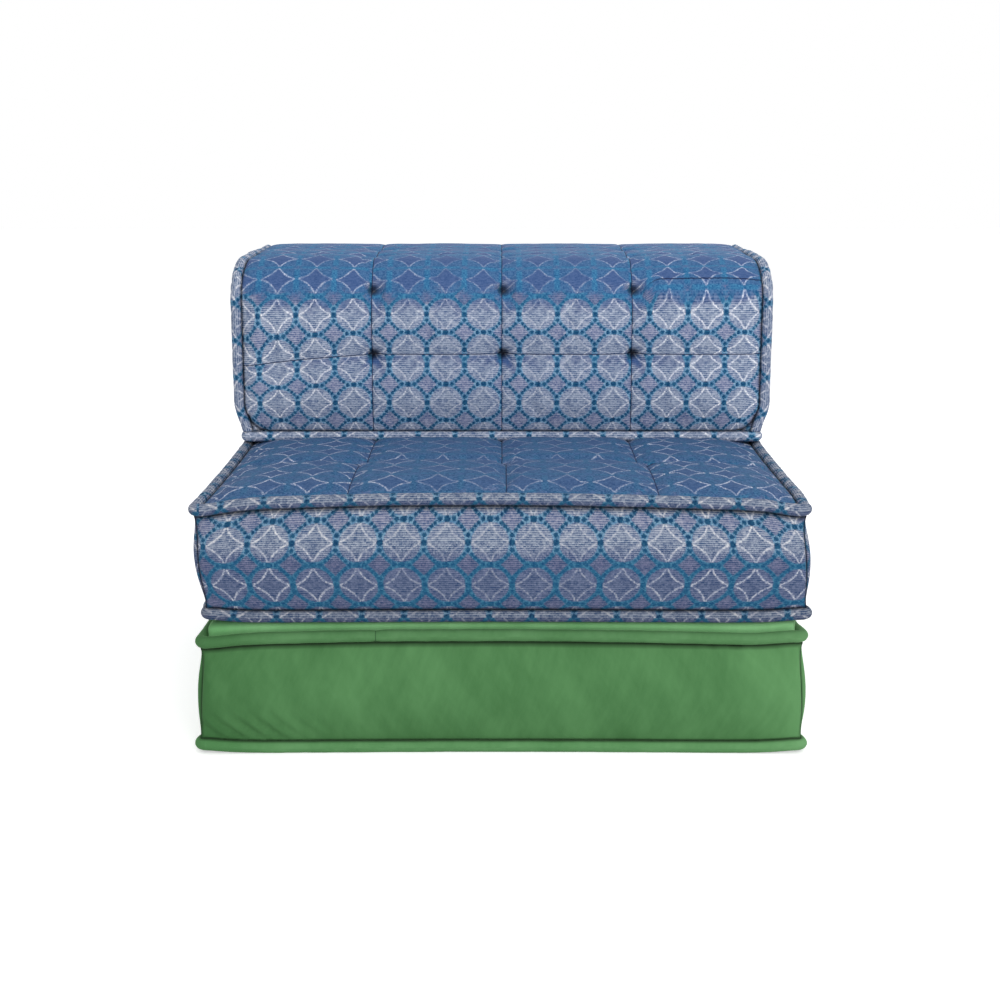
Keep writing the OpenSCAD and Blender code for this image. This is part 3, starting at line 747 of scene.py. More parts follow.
def velvet_pulls(x, t, height):
    """The base's front: slanting pulls over its lower left and upper right corner, and soft
    upright folds."""
    over, under = t * height, (1 - t) * height
    near = bell(x + 0.395, 0.085) * bell(over - 0.024, 0.024)
    slant = 0.0034 * near * math.sin((x + 0.9 * over) * 2 * math.pi / 0.031)
    folds = sum(deep * bell(x - place - 0.30 * under, 0.007) for place, deep in VELVET_FOLDS)
    folds *= dying(under, 0.06)
    near = bell(x - 0.36, 0.05) * dying(under, 0.022)
    corner = 0.0030 * near * math.sin((x - 0.7 * under) * 2 * math.pi / 0.036)
    return slant + folds * clamp(under / 0.01) + corner


def wrung_at_sides(place):
    """A mattress's jacquard roll is wrung like a rope along the sides and smooth in front."""
    return ease((place.y + SEAT.half_depth) / 0.03)


BASE_MATTRESS = Mattress(BASE, 0.006, [(-1, False, 0.010, 0.0), (1, False, 0.006, 0.0),
                                       (-1, True, 0.004, 0.004), (1, True, 0.002, -0.007)],
                         (VELVET, LIT_VELVET_TOP, VELVET_ROLL, VELVET_LOW_ROLL),
                         corner_line=1.1, join=0.280, pulls=velvet_pulls)
SEAT_MATTRESS = Mattress(SEAT, 0.010, [(-1, False, -0.009, 0.0), (1, False, 0.006, 0.0),
                                       (-1, True, 0.007, 0.007), (1, True, 0.0, 0.007)],
                         (SEAT_FRONT, SEAT_TOP, SEAT_ROLL, SEAT_LOW_ROLL),
                         corner_line=0.5, join=2.41, rope=wrung_at_sides)
# Where the pattern starts on a front band, across and up, how much further on it starts on each
# next side, and how much closer it is woven upwards
BAND_START = (0.0195, -0.0458)
BAND_STEP = (0.021, -0.017)
BAND_CLOSER = 1.045


def boxing_band(mattress, name, turn, seed, low=0.0, high=1.0, pulls=None):
    """A boxing band on one side; turn is the side's angle in quarters, low and high its part."""
    core = mattress.core
    half = core.half_width if turn % 2 == 0 else core.half_depth
    out_from = core.half_depth if turn % 2 == 0 else core.half_width
    spin = Matrix.Rotation(math.radians(90 * turn), 4, "Z")
    columns = round(2 * half / CLOTH_FACE)
    rows = max(6, round(core.height * (high - low) / CLOTH_FACE))

    def height(v):
        return low + (high - low) * (v + 1) / 2

    def spread(u):
        """Sets the mesh's columns closer beside the corner seams."""
        return u * (1.25 - 0.25 * u * u)

    def place(u, v):
        t = height(v)
        u = spread(u)
        x = u * half
        inside = clamp((1 - abs(u)) / 0.02) * clamp(t / 0.04) * clamp((1 - t) / 0.04)
        folds = gathers(x, t, core.height, seed) + 0.0012 * grain(x, t * core.height, 0.09, seed)
        if pulls:
            folds += pulls(x, t, core.height)
        out = band_out(mattress, u, t) + folds * inside
        spot = spin @ Vector((u * (half + out), -(out_from + out), core.bottom + t * core.height))
        spot.z += mattress.lift(spot.x, spot.y, spot.z)
        return mattress.settle(spot)

    def lining(u, v):
        return spin @ Vector((spread(u) * half, -out_from, core.bottom + height(v) * core.height))

    # Width of the cloth over the swelling, so that its pattern isn't stretched
    cloth_half = half + BAND + 0.8 * BAND_BULGE

    def pattern(u, v, column, row):
        up = height(v) * core.height + BAND_START[1]
        return (spread(u) * cloth_half + BAND_START[0] + BAND_STEP[0] * turn,
                up * BAND_CLOSER + BAND_STEP[1] * turn)

    def seams(u, v):
        under, over = (1 - height(v)) * core.height, height(v) * core.height
        corner = (1 - abs(spread(u))) * half
        # The second value sets painted shade: under the upper roll, over the lower roll and beside
        # the corner seams
        edge = min(under * 0.7 - 0.001, over + 0.001, corner * 0.6 + 0.0016)
        return corner * mattress.corner_line, edge

    return pad(name, core, columns, rows, place, lining, pattern, mattress.band_finish, seams)


def drawn_in(u, v, half_width, half_depth, ear):
    """A place on a panel whose sides draw in between its corners."""
    along_x, along_y = u * (half_width + ear), v * (half_depth + ear)
    return (u * (half_width + ear * (along_y / (half_depth + ROLL_OUT + ear)) ** 2),
            v * (half_depth + ear * (along_x / (half_width + ROLL_OUT + ear)) ** 2))


def mattress_sides(core):
    return core.half_width, core.half_depth, MATTRESS_EAR


def flat_pattern(half_width, half_height):
    """A pattern that lies on the cloth as on a table."""
    return lambda u, v, column, row: (u * half_width, v * half_height)


def lining_over(core, height, half_width, half_depth, ear):
    """Lining of a flat panel, at that height of the foam."""
    def lining(u, v):
        x, y = drawn_in(u, v, half_width, half_depth, ear)
        return Vector((x, core.middle + y, height))

    return lining


def bottom_panel(name, core, half_width, half_depth, ear, low, finish, mattress=None):
    """The flat panel under a cushion."""
    def place(u, v):
        x, y = drawn_in(u, v, half_width, half_depth, ear)
        spot = Vector((x, core.middle + y, low))
        if mattress:
            spot.z += mattress.curl(x, y, low)
            mattress.settle(spot)
        return spot

    lining = lining_over(core, core.bottom, half_width, half_depth, ear)
    pattern = flat_pattern(half_width, half_depth)
    return pad(name, core, 60, 40, place, lining, pattern, finish)


# How far from a tuft its dip and its pleats reach
TUFT_REACH = 0.14


class Quilting:
    """Seams and tufts of a quilted panel, in metres along its cloth. rows are its seams across,
    tufts_on those of them with tufts, puff and dip how far the cloth rises and its tufts sink, and
    draw how deep its seams are. A faint quilting's third seam shows at its right end only."""

    def __init__(self, half_width, rows, puff, dip, draw, tufts_on, seed, taut_from=None,
                 rounding=0.0, faint=False):
        self.half_width, self.rows, self.puff, self.dip = half_width, rows, puff, dip
        self.draw, self.seed, self.faint = draw, seed, faint
        self.taut_from, self.rounding = taut_from, rounding
        self.field = 2 * half_width / FIELDS
        lines = [-half_width + i * self.field for i in range(1, FIELDS)]
        self.tufts = [(line, rows[j]) for line in lines for j in tufts_on]

    def place(self, u, v):
        """The distance across and along of a point of the grid; each field has as many rows."""
        count = (v + 1) / 2 * (len(self.rows) - 1)
        j = min(int(count + 1e-6), len(self.rows) - 2)
        return u * self.half_width, self.rows[j] + (self.rows[j + 1] - self.rows[j]) * (count - j)

    def counts(self, x, s):
        """How many fields lie to the left of a point, and its share of its own field's height."""
        c = (x + self.half_width) / self.field
        j = max(k for k in range(len(self.rows) - 1) if s >= self.rows[k] - 1e-9)
        return c, (s - self.rows[j]) / (self.rows[j + 1] - self.rows[j])

    def height(self, x, s):
        """Height of the stuffed cloth over its sewn edge."""
        c, r = self.counts(x, s)
        dx, ds = self.to_seams(x, s)
        across = abs(math.sin(math.pi * c)) ** 0.7
        along = abs(math.sin(math.pi * r)) ** 0.7
        rise = self.puff * (0.62 + 0.23 * across + 0.15 * along) * (1 - 0.4 * self.taut(s))
        rise *= (1 - self.draw * dying(dx, 0.006)) * (1 - 0.6 * self.draw * dying(ds, 0.005))
        for tuft_x, tuft_s in self.tufts:
            dx, ds = x - tuft_x, s - tuft_s
            gap = math.hypot(dx, ds)
            if gap < TUFT_REACH:
                turn = math.atan2(ds, dx)
                bowl = math.exp(-(gap / 0.036) ** 1.5)
                pocket = bell(dx - 0.012, 0.011) * bell(ds, 0.015)
                rise -= self.dip * (0.66 * bell(gap, 0.009) + 0.34 * bowl + 0.32 * pocket)
                pleats = math.cos(5 * turn + 20 * tuft_x) + 0.8 * math.cos(9 * turn + 31 * tuft_s)
                rise += 0.0014 * pleats * dying(gap, 0.022) * clamp(gap / 0.010)
        rise += 0.0014 * grain(x, s, 0.075, self.seed) + 0.0006 * grain(x, s, 0.028, self.seed + 3)
        return rise

    def taut(self, s):
        """1 where the cloth is stretched tight, 0 where it is stuffed full."""
        return ease((s - self.taut_from) / 0.05) if self.taut_from else 0.0

    def give(self, u, v):
        """How far stuffing may push the cloth out."""
        return MOST_MOVE * (1 - 0.75 * self.taut(self.place(u, v)[1]))

    def to_seams(self, x, s):
        """Distances to the nearest seam across and along."""
        dx = min(abs(x + self.half_width - i * self.field) for i in range(1, FIELDS))
        ds = min(abs(s - row) for row in self.rows[1:-1])
        return dx, ds

    def seams(self, u, v):
        """Distance to the nearest seam, and to the nearest rolled edge or tuft, which sets the
        painted shade there.
        """
        x, s = self.place(u, v)
        dx, ds = self.to_seams(x, s)
        if self.faint and abs(s - self.rows[2]) < 0.01:
            ds += 0.004 * (1 - ease((x - 0.22) / 0.08))
        length = self.rows[-1] - self.rows[0]
        edge = min((1 - abs(u)) * self.half_width, (1 - abs(v)) * length / 2)
        # The painted shade reaches further to the right of a tuft, and follows the rounded line of
        # the lower corners
        tuft = min(math.hypot((x - spot[0]) * (0.55 if x > spot[0] else 1.0), (s - spot[1]) * 0.75)
                   for spot in self.tufts)
        inward = self.from_corner(x, s)
        if inward < 0:
            return min(dx, ds), max(inward, -edge - 0.0012)
        return min(dx, ds), min(edge + 0.0012, max(0.0, tuft - 0.0045), inward)

    def from_corner(self, x, s):
        """Distance inward from the rounded line on which the lower corners are sewn."""
        dx, ds = self.half_width - abs(x), s - self.rows[0]
        if max(dx, ds) < self.rounding:
            return self.rounding - math.hypot(self.rounding - dx, self.rounding - ds)
        return 1.0

    def held(self, u, v):
        """How firmly the cloth is held: fully on its edge and its tufts, lightly on its seams."""
        if max(abs(u), abs(v)) > 0.995:
            return 1.0
        x, s = self.place(u, v)
        if min(math.hypot(x - tuft[0], s - tuft[1]) for tuft in self.tufts) < 0.008:
            return 1.0
        return 0.6 if min(self.to_seams(x, s)) < 0.002 else 0.0


SEAT_ROWS = [-SEAT.half_depth + k * SEAT.half_depth / 2 for k in range(5)]
SEAT_QUILTING = Quilting(SEAT.half_width, SEAT_ROWS, 0.011, 0.012, 0.35, (1, 2, 3), 11.0)
# How far each seam of the seat's front row is sewn beside the one behind it
SEAT_JOGS = (0.0, -0.011, 0.007, 0.015, 0.0)
PRESS_FROM = BACK.front - 2 * ROLL - SEAM - BOLSTER_EAR - 0.001


def jogged(u):
    """How far a place in the seat's front row of patches is shifted along its seam."""
    count = (u + 1) / 2 * FIELDS
    k = min(int(count), FIELDS - 1)
    return SEAT_JOGS[k] + (SEAT_JOGS[k + 1] - SEAT_JOGS[k]) * (count - k)


def seat_top_panel():
    core, quilting = SEAT, SEAT_QUILTING
    pressed_height = core.top + SEAT_REST

    def place(u, v):
        x, y = drawn_in(u, v, *mattress_sides(core))
        swell = 0.012 * fade(u, v, 4)
        across, along = quilting.place(u, v)
        if v < -0.5 - 1e-6:
            x += jogged(u)
        rise = PANEL_EDGE + swell + quilting.height(across, along) * fade(u, v)
        z = core.top + rise + SEAT_MATTRESS.lift(x, y, core.top)
        if y > PRESS_FROM:
            z = min(z, pressed_height)
        elif y > PRESS_FROM - 0.03:
            z = min(z, pressed_height + (PRESS_FROM - y) * 0.6)
        return SEAT_MATTRESS.settle(Vector((x, y, z)))

    def pattern(u, v, column, row):
        across, along = quilting.place(u, v)
        patch_x = math.floor((column + 1) / 2 * FIELDS)
        patch_y = math.floor((row + 1) / 2 * FIELDS)
        return (across + 0.013 * patch_x + 0.020, along + 0.031 * patch_y)

    def below_bolster(spot):
        if spot.y > PRESS_FROM:
            spot.z = min(spot.z, pressed_height)

    lining = lining_over(core, core.top, *mattress_sides(core))
    return pad("seat_top_panel", core, 176, 176, place, lining, pattern,
               SEAT_MATTRESS.panel_finish, quilting.seams, quilting, keep=below_bolster)


def base_top_panel():
    core = BASE

    def spread(share):
        """Sets more of the mesh's rows beside the edges, where the cloth turns up."""
        return math.sin(share * math.pi / 2)

    def place(u, v):
        u, v = spread(u), spread(v)
        x, y = drawn_in(u, v, *mattress_sides(core))
        full = min(1.0, 1.5 * fade(u, v, 56))
        over_roll = 0.008 * math.sin(math.pi * full ** 1.8)
        x += over_roll * abs(u) ** 20 * math.copysign(1, u)
        y += over_roll * abs(v) ** 20 * math.copysign(1, v)
        rise = PANEL_EDGE + (BASE_REST - PANEL_EDGE) * full
        lift = BASE_MATTRESS.lift(x, y, core.top) * (1 - full)
        return BASE_MATTRESS.settle(Vector((x, y, core.top + rise + lift)))

    lining = lining_over(core, core.top, *mattress_sides(core))
    return pad("base_top_panel", core, 150, 150, place,
               lambda u, v: lining(spread(u), spread(v)),
               lambda u, v, column, row: (spread(u) * core.half_width, spread(v) * core.half_depth),
               BASE_MATTRESS.panel_finish)


# Rolled edges

# Faces round a roll, and the length of the step that closes a ring
ROLL_SIDES = 20
LAST_STEP = 0.004


def roll_piece(name, core, stations, closed, finish, joins, seed, sewn_at, pressed=0.0, rope=None):
    """A stuffed roll. stations are (place, outward, upward, distance along), joins the distances at
    which its cloth is joined, sewn_at the quarter turns at which it is sewn to its neighbours,
    beside which it gets painted shade, and rope says from 0 to 1 how much it is wrung at a place."""
    count = len(stations) - (0 if closed else 1)
    bm = bmesh.new()
    bmesh.ops.create_grid(bm, x_segments=count, y_segments=ROLL_SIDES, size=1.0)
    cloth = bm.loops.layers.uv.new("cloth")
    sewn = bm.loops.layers.uv.new("sewn")
    for face in bm.faces:
        for loop in face.loops:
            k = round((loop.vert.co.x + 1) / 2 * count)
            turn = (loop.vert.co.y + 1) / 2
            length = stations[k][3] if k < len(stations) else stations[-1][3] + LAST_STEP
            loop[cloth].uv = (length, turn * 2 * math.pi * ROLL * 0.9)
            at_join = min([1.0] + [abs(length - join) for join in joins])
            # Painted shade on the roll beside the quarter turns where it meets its neighbours
            edge = min(abs(turn * 4 - quarter) for quarter in sewn_at) * ROLL * math.pi / 2
            loop[sewn].uv = (at_join, edge * 0.7 + 0.0005)
    for vert in bm.verts:
        k = round((vert.co.x + 1) / 2 * count) % len(stations)
        place, outward, upward, length = stations[k]
        angle = (vert.co.y + 1) * math.pi
        pinch = sum(bell(length - join, 0.005) for join in joins)
        wrung = rope(place) if rope else 0.15
        phase = length / 0.0085 + angle / 2 + 2.2 * grain(length, 0, 0.05, seed)
        crease = (1 - abs(math.sin(phase))) ** 2
        x, y = 0.5 * math.cos(angle), 0.5 * math.sin(angle)
        lump = noise.noise(Vector((length / 0.03, x, y + seed)))
        radius = ROLL * (1.01 + 0.05 * lump - 0.12 * pinch)
        radius -= 0.0028 * crease * wrung * (0.5 + 0.5 * abs(grain(length, 0.0, 0.04, seed + 2)))
        radius = min(radius, ROLL * 1.05)
        sway = upward * grain(length, 3.0, 0.035, seed) + outward * grain(length, 7.0, 0.035, seed)
        lift = radius * math.sin(angle)
        if pressed:
            lift = max(lift, pressed - ROLL)
            place = place + outward * 0.0010
        else:
            place = place + sway * 0.0009 * wrung
        vert.co = place + outward * (radius * math.cos(angle)) + upward * lift
    bmesh.ops.remove_doubles(bm, verts=bm.verts[:], dist=1e-6)
    if not closed:
        bmesh.ops.holes_fill(bm, edges=[edge for edge in bm.edges if edge.is_boundary], sides=0)
    bmesh.ops.recalc_face_normals(bm, faces=bm.faces[:])
    return finish_mesh(bm, name + "_cloth", core.body, name, finish)


CORNER_BEND = ROLL + 0.0008
BEND_STEPS = 6


def ring_stations(half_width, half_depth, ear, height, middle, shaped):
    """Stations of a roll round a rectangle, drawn in between its blunt corners."""
    points = []
    for side in range(4):
        half = (half_width if side % 2 == 0 else half_depth) + ROLL_OUT + ear
        out = (half_depth if side % 2 == 0 else half_width) + ROLL_OUT
        spin = Matrix.Rotation(math.radians(90 * side), 4, "Z")
        reach_to = half - CORNER_BEND
        steps = round(2 * reach_to / CLOTH_FACE)
        flat = [(p, -out - ear * (p / half) ** 2)
                for p in (reach_to * (2 * k / steps - 1) for k in range(steps + 1))]
        depth = flat[-1][1] + CORNER_BEND
        for k in range(1, BEND_STEPS):
            turn = math.pi / 2 * k / BEND_STEPS
            flat.append((reach_to + CORNER_BEND * math.sin(turn),
                         depth - CORNER_BEND * math.cos(turn)))
        for x, y in flat:
            spot = spin @ Vector((x, y, 0))
            points.append(shaped(Vector((spot.x, spot.y + middle, height))))
    stations = []
    length = 0.0
    for k, point in enumerate(points):
        before = (point - points[k - 1]).normalized()
        after = (points[(k + 1) % len(points)] - point).normalized()
        way = (before + after).normalized()
        outward = Vector((way.y, -way.x, 0)).normalized()
        length += (point - points[k - 1]).length if k else 0.0
        stations.append((point, outward, Vector((0, 0, 1)), length))
    return stations


def mattress_cover(mattress):
    core = mattress.core
    sides = mattress_sides(core)
    body = core.body
    slot = ZIP_SLOT / 2 / core.height
    boxing_band(mattress, body + "_front_band", 0, seed=1.0, pulls=mattress.pulls)
    boxing_band(mattress, body + "_right_band", 1, seed=2.0)
    boxing_band(mattress, body + "_left_band", 3, seed=3.0)
    boxing_band(mattress, body + "_rear_band_upper", 2, low=0.5 + slot, seed=4.0)
    boxing_band(mattress, body + "_rear_band_lower", 2, high=0.5 - slot, seed=5.0)
    low = core.bottom - UNDER
    bottom_panel(body + "_bottom_panel", core, *sides, low, mattress.band_finish, mattress)

    def raised_edge(spot):
        spot.z += mattress.lift(spot.x, spot.y, spot.z)
        return mattress.settle(spot)

    def curled_edge(spot):
        spot.z += mattress.curl(spot.x, spot.y, low)
        return mattress.settle(spot)

    top = ring_stations(*sides, core.top + ROLL_OUT, 0.0, raised_edge)
    bottom = ring_stations(*sides, low + ROLL - FLAT, 0.0, curled_edge)
    roll_piece(body + "_top_roll", core, top, True, mattress.roll_finish, [mattress.join], 21.0,
               (2, 3), rope=mattress.rope)
    roll_piece(body + "_bottom_roll", core, bottom, True, mattress.low_roll_finish, [2.6], 23.0,
               (1, 2, 3), pressed=FLAT)


# The bolster: lengths up its outline, from the foot of its front over the nose and the crest

NOSE_LENGTH = NOSE_RADIUS * NOSE_ANGLE
CREST_LENGTH = CREST_RADIUS * (math.pi / 2 - NOSE_ANGLE)
FLAT_FROM = BOLSTER_FRONT + NOSE_LENGTH + CREST_LENGTH
NOSE_END = Vector((NOSE_RADIUS * (1 - math.cos(NOSE_ANGLE)),
                   BOLSTER_FRONT + NOSE_RADIUS * math.sin(NOSE_ANGLE)))
CREST_MIDDLE = NOSE_END + CREST_RADIUS * Vector((math.cos(NOSE_ANGLE), -math.sin(NOSE_ANGLE)))
BOLSTER_HEIGHT = CREST_MIDDLE.y + CREST_RADIUS
BOLSTER_DEPTH = BACK.rear - BACK.front
OUTLINE = FLAT_FROM + BOLSTER_DEPTH - CREST_MIDDLE.x
BOLSTER_ROWS = [0.0, TUFT_HEIGHT, BOLSTER_FRONT + NOSE_LENGTH / 2, FLAT_FROM + TUFT_LEAD,
                FLAT_FROM + TUFT_LEAD + TUFT_PITCH, OUTLINE]
BOLSTER_QUILTING = Quilting(BACK.half_width, BOLSTER_ROWS, 0.011, 0.022, 0.28, (1, 2, 3, 4), 31.0,
                            taut_from=BOLSTER_ROWS[2], rounding=0.030, faint=True)


def outline_angle(s):
    """How far the bolster's outline has turned back at the distance s up its front."""
    if s <= BOLSTER_FRONT:
        return 0.0
    if s <= BOLSTER_FRONT + NOSE_LENGTH:
        return (s - BOLSTER_FRONT) / NOSE_RADIUS
    return min(math.pi / 2, NOSE_ANGLE + (s - BOLSTER_FRONT - NOSE_LENGTH) / CREST_RADIUS)


def outline_place(s):
    """Depth and height of that point of the outline."""
    turn = outline_angle(s)
    if s <= BOLSTER_FRONT:
        return 0.0, s
    if s <= BOLSTER_FRONT + NOSE_LENGTH:
        return NOSE_RADIUS * (1 - math.cos(turn)), BOLSTER_FRONT + NOSE_RADIUS * math.sin(turn)
    if s < FLAT_FROM:
        return (CREST_MIDDLE.x - CREST_RADIUS * math.cos(turn),
                CREST_MIDDLE.y + CREST_RADIUS * math.sin(turn))
    return CREST_MIDDLE.x + s - FLAT_FROM, BOLSTER_HEIGHT


def tucked(spot):
    """Draws the bolster's cover in towards its underside, below both ends."""
    low = 1 - ease((spot.z - BACK.bottom + 0.010) / 0.065)
    end = ease((abs(spot.x) - BACK.half_width + 0.09) / 0.09)
    spot.x -= math.copysign(BOLSTER_TUCK * low * end, spot.x)
    return spot


def over_outline(x, s, out):
    """A point at the height out over the bolster's outline."""
    depth, height = outline_place(s)
    turn = outline_angle(s)
    return tucked(Vector((x, BACK.front + depth - out * math.cos(turn),
                          BACK.bottom + height + out * math.sin(turn))))


def cloth_length(s):
    """Distance along the outside of the cloth, which is longer than the foam over the nose."""
    return s + 0.020 * outline_angle(s) + 0.006 * ease((s - TUFT_HEIGHT) / 0.116)


def bowed(u, s):
    """The lower seam sags towards the bolster's left end, and the upper one rises at its right."""
    sag = 0.024 * clamp((-u - 0.35) / 0.65) ** 2 * bell(s - TUFT_HEIGHT, 0.06)
    rise = 0.012 * ease((u - 0.53) / 0.08) * bell(s - BOLSTER_ROWS[2], 0.04)
    return s - sag + rise


# Where the pattern starts on the patches of the bolster: beside their left seam, and up the cloth
# on the lowest row of patches and above it
PATCH_INSET = 0.033
LOW_PATCH_TOP = -0.6
LOW_PATCH_START = 0.058
HIGH_PATCH_START = 0.157


def quilted_panel():
    core, quilting = BACK, BOLSTER_QUILTING

    def place(u, v):
        x, s = quilting.place(u, v)
        swell = 0.008 * fade(u, v, 40, 6) * (1 - 0.4 * quilting.taut(s))
        full = fade(u, v, 60, 16)
        drawn = 0.009 * bell(s - BOLSTER_ROWS[2], 0.045) * full
        rise = PANEL_EDGE + swell - drawn + quilting.height(x, s) * full
        rise -= 0.006 * bell(quilting.from_corner(x, s), 0.005)
        return over_outline(x, bowed(u, s), max(rise, 0.003))

    def lining(u, v):
        x, s = quilting.place(u, v)
        return over_outline(x, bowed(u, s), 0.0)

    def pattern(u, v, column, row):
        x, s = quilting.place(u, v)
        patch = math.floor((column + 1) / 2 * FIELDS)
        left = -quilting.half_width + patch * quilting.field
        start = LOW_PATCH_START if row < LOW_PATCH_TOP else HIGH_PATCH_START
        return (x - left - PATCH_INSET + BOLSTER_REPEAT / 2, cloth_length(s) - start)

    return pad("back_quilted_panel", core, 176, 150, place, lining, pattern,
               BOLSTER_CLOTH, quilting.seams, quilting, curved=True)


def end_panel(name, side):
    """The panel on an end of the bolster; side is 1 at the right."""
    core = BACK

    def spot(u, v, out):
        s = (v + 1) / 2 * FLAT_FROM
        depth, height = outline_place(s)
        back = depth + (BOLSTER_DEPTH - depth) * (u + 1) / 2
        return tucked(Vector((side * (core.half_width + out), core.front + back,
                              core.bottom + height)))

    def place(u, v):
        puff = clamp(1 - u * u) ** 0.5 * clamp(1 - v * v) ** 0.5
        crease = 0.0015 * grain(u * 0.23, v * 0.15, 0.05, 41.0 + side) * fade(u, v)
        return spot(u, v, BAND + END_BULGE * puff + crease)

    def lining(u, v):
        return spot(u, v, 0.0)

    def pattern(u, v, column, row):
        at = spot(u, v, 0.0)
        return (at.y, at.z)

    return pad(name, core, 80, 60, place, lining, pattern, BOLSTER_CLOTH)


def rear_panel(name, low, high):
    """One strip of the bolster's rear, from one height to another."""
    core = BACK
    full = BOLSTER_HEIGHT + PANEL_EDGE

    def height(v):
        return low + (high - low) * (v + 1) / 2

    def place(u, v):
        z = height(v)
        out = BAND + REAR_BULGE * (1 - u ** 6) * math.sin(math.pi * clamp(z / full))
        out += 0.0008 * grain(u * 0.486, z, 0.05, 51.0) * fade(u, v, 30)
        return tucked(Vector((u * core.half_width, core.rear + out, core.bottom + z)))

    def lining(u, v):
        return tucked(Vector((u * core.half_width, core.rear, core.bottom + height(v))))

    def pattern(u, v, column, row):
        return (u * core.half_width, height(v))

    rows = max(4, round((high - low) / 0.007))
    return pad(name, core, 120, rows, place, lining, pattern, BOLSTER_CLOTH)


def end_roll(name, side):
    """The roll up the front, over the top and down the rear of an end."""
    core = BACK
    path = []
    over, corner, down = 149, 12, 50
    for k in range(over + 1):
        s = OUTLINE * k / over
        path.append((*outline_place(s), outline_angle(s)))
    for k in range(1, corner + 1):
        path.append((BOLSTER_DEPTH, BOLSTER_HEIGHT, math.pi / 2 * (1 + k / corner)))
    for k in range(1, down + 1):
        path.append((BOLSTER_DEPTH, BOLSTER_HEIGHT * (1 - k / down), math.pi))

    def wrung(place):
        return 0.35 + 0.65 * ease((place.z - core.bottom - 0.22) / 0.05)

    stations = []
    length = 0.0
    before = None
    for depth, height, turn in path:
        slim = 1 - 0.22 * ease((depth - 0.22) / 0.16)
        outward = Vector((0, -math.cos(turn), math.sin(turn))) * slim
        spot = Vector((side * (core.half_width + ROLL_OUT * slim), core.front + depth,
                       core.bottom + height))
        spot = tucked(spot + outward * ROLL_OUT)
        length += (spot - before).length if before else 0.0
        before = spot
        stations.append((spot, outward, Vector((side * slim, 0, 0)), length))
    return roll_piece(name, core, stations, False, BOLSTER_ROLL, [], 61.0 + side, (2, 3), rope=wrung)


def bolster_cover():
    core = BACK
    quilted_panel()
    end_panel("back_left_end_panel", -1)
    end_panel("back_right_end_panel", 1)
    rear_panel("back_rear_panel_upper", BOLSTER_ZIP + ZIP_SLOT / 2, BOLSTER_HEIGHT + PANEL_EDGE)
    rear_panel("back_rear_panel_lower", 0.0, BOLSTER_ZIP - ZIP_SLOT / 2)
    low = core.bottom - UNDER
    sides = core.half_width - BOLSTER_TUCK, core.half_depth, BOLSTER_EAR
    bottom_panel("back_bottom_panel", core, *sides, low, BOLSTER_CLOTH)
    end_roll("back_left_roll", -1)
    end_roll("back_right_roll", 1)
    ring = ring_stations(*sides, low + ROLL - FLAT, core.middle, Vector)
    roll_piece("back_bottom_roll", core, ring, True, BOLSTER_LOW_ROLL, [1.9], 71.0, (1, 2, 3),
               pressed=FLAT)


def bevel_edges(bm, width, segments):
    bmesh.ops.bevel(bm, geom=bm.edges[:], offset=width, offset_type="OFFSET", segments=segments,
                    profile=0.5, affect="EDGES", material=-1)


def foam_block(core):
    """A mattress's foam core, with its cut edges eased."""
    bm = bmesh.new()
    bmesh.ops.create_cube(bm, size=1.0)
    size = Matrix.Diagonal((2 * core.half_width, 2 * core.half_depth, core.height, 1))
    place = Matrix.Translation((0, core.middle, (core.bottom + core.top) / 2))
    bmesh.ops.transform(bm, matrix=place @ size, verts=bm.verts[:])
    bevel_edges(bm, 0.004, 3)
    finish_foam(bm, core.body)


def finish_foam(bm, body):
    finish_mesh(bm, body + "_foam_block", body, body + "_foam_core", (FOAM, "foam"))


def bolster_foam():
    """The bolster's foam core, cut to its outline and pressed in at its lower ends."""
    bm = bmesh.new()
    steps = 24
    corners = [outline_place(FLAT_FROM * k / steps) for k in range(steps + 1)]
    corners += [(BOLSTER_DEPTH, BOLSTER_HEIGHT), (BOLSTER_DEPTH, 0.05), (BOLSTER_DEPTH, 0.0)]
    rim = [bm.verts.new((-BACK.half_width, BACK.front + y, BACK.bottom + z)) for y, z in corners]
    face = bm.faces.new(rim)
    grown = bmesh.ops.extrude_face_region(bm, geom=[face], use_keep_orig=True)
    moved = [item for item in grown["geom"] if isinstance(item, bmesh.types.BMVert)]
    bmesh.ops.translate(bm, vec=(2 * BACK.half_width, 0, 0), verts=moved)
    for vert in bm.verts:
        vert.co = tucked(vert.co)
    bmesh.ops.recalc_face_normals(bm, faces=bm.faces[:])
    finish_foam(bm, BACK.body)


def zip_tape(core, finish, out_at):
    """The woven tape behind a zip's teeth; out_at(u) is how far out it lies."""
    name = core.body + "_zip_tape"
    low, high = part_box(name)
    middle, half = (low.z + high.z) / 2, (high.z - low.z) / 2

    def place(u, v):
        out = out_at(u)
        x = u * core.half_width + math.copysign(out * abs(u) ** 40, u)
        return Vector((x, core.rear + out - 0.0004 * bell(v, 0.12), middle + v * half))

    def lining(u, v):
        return Vector((u * core.half_width, core.rear, middle + v * half))

    pattern = flat_pattern(core.half_width, half)
    return pad(name, core, 160, 8, place, lining, pattern, (finish, "zip_tape"))


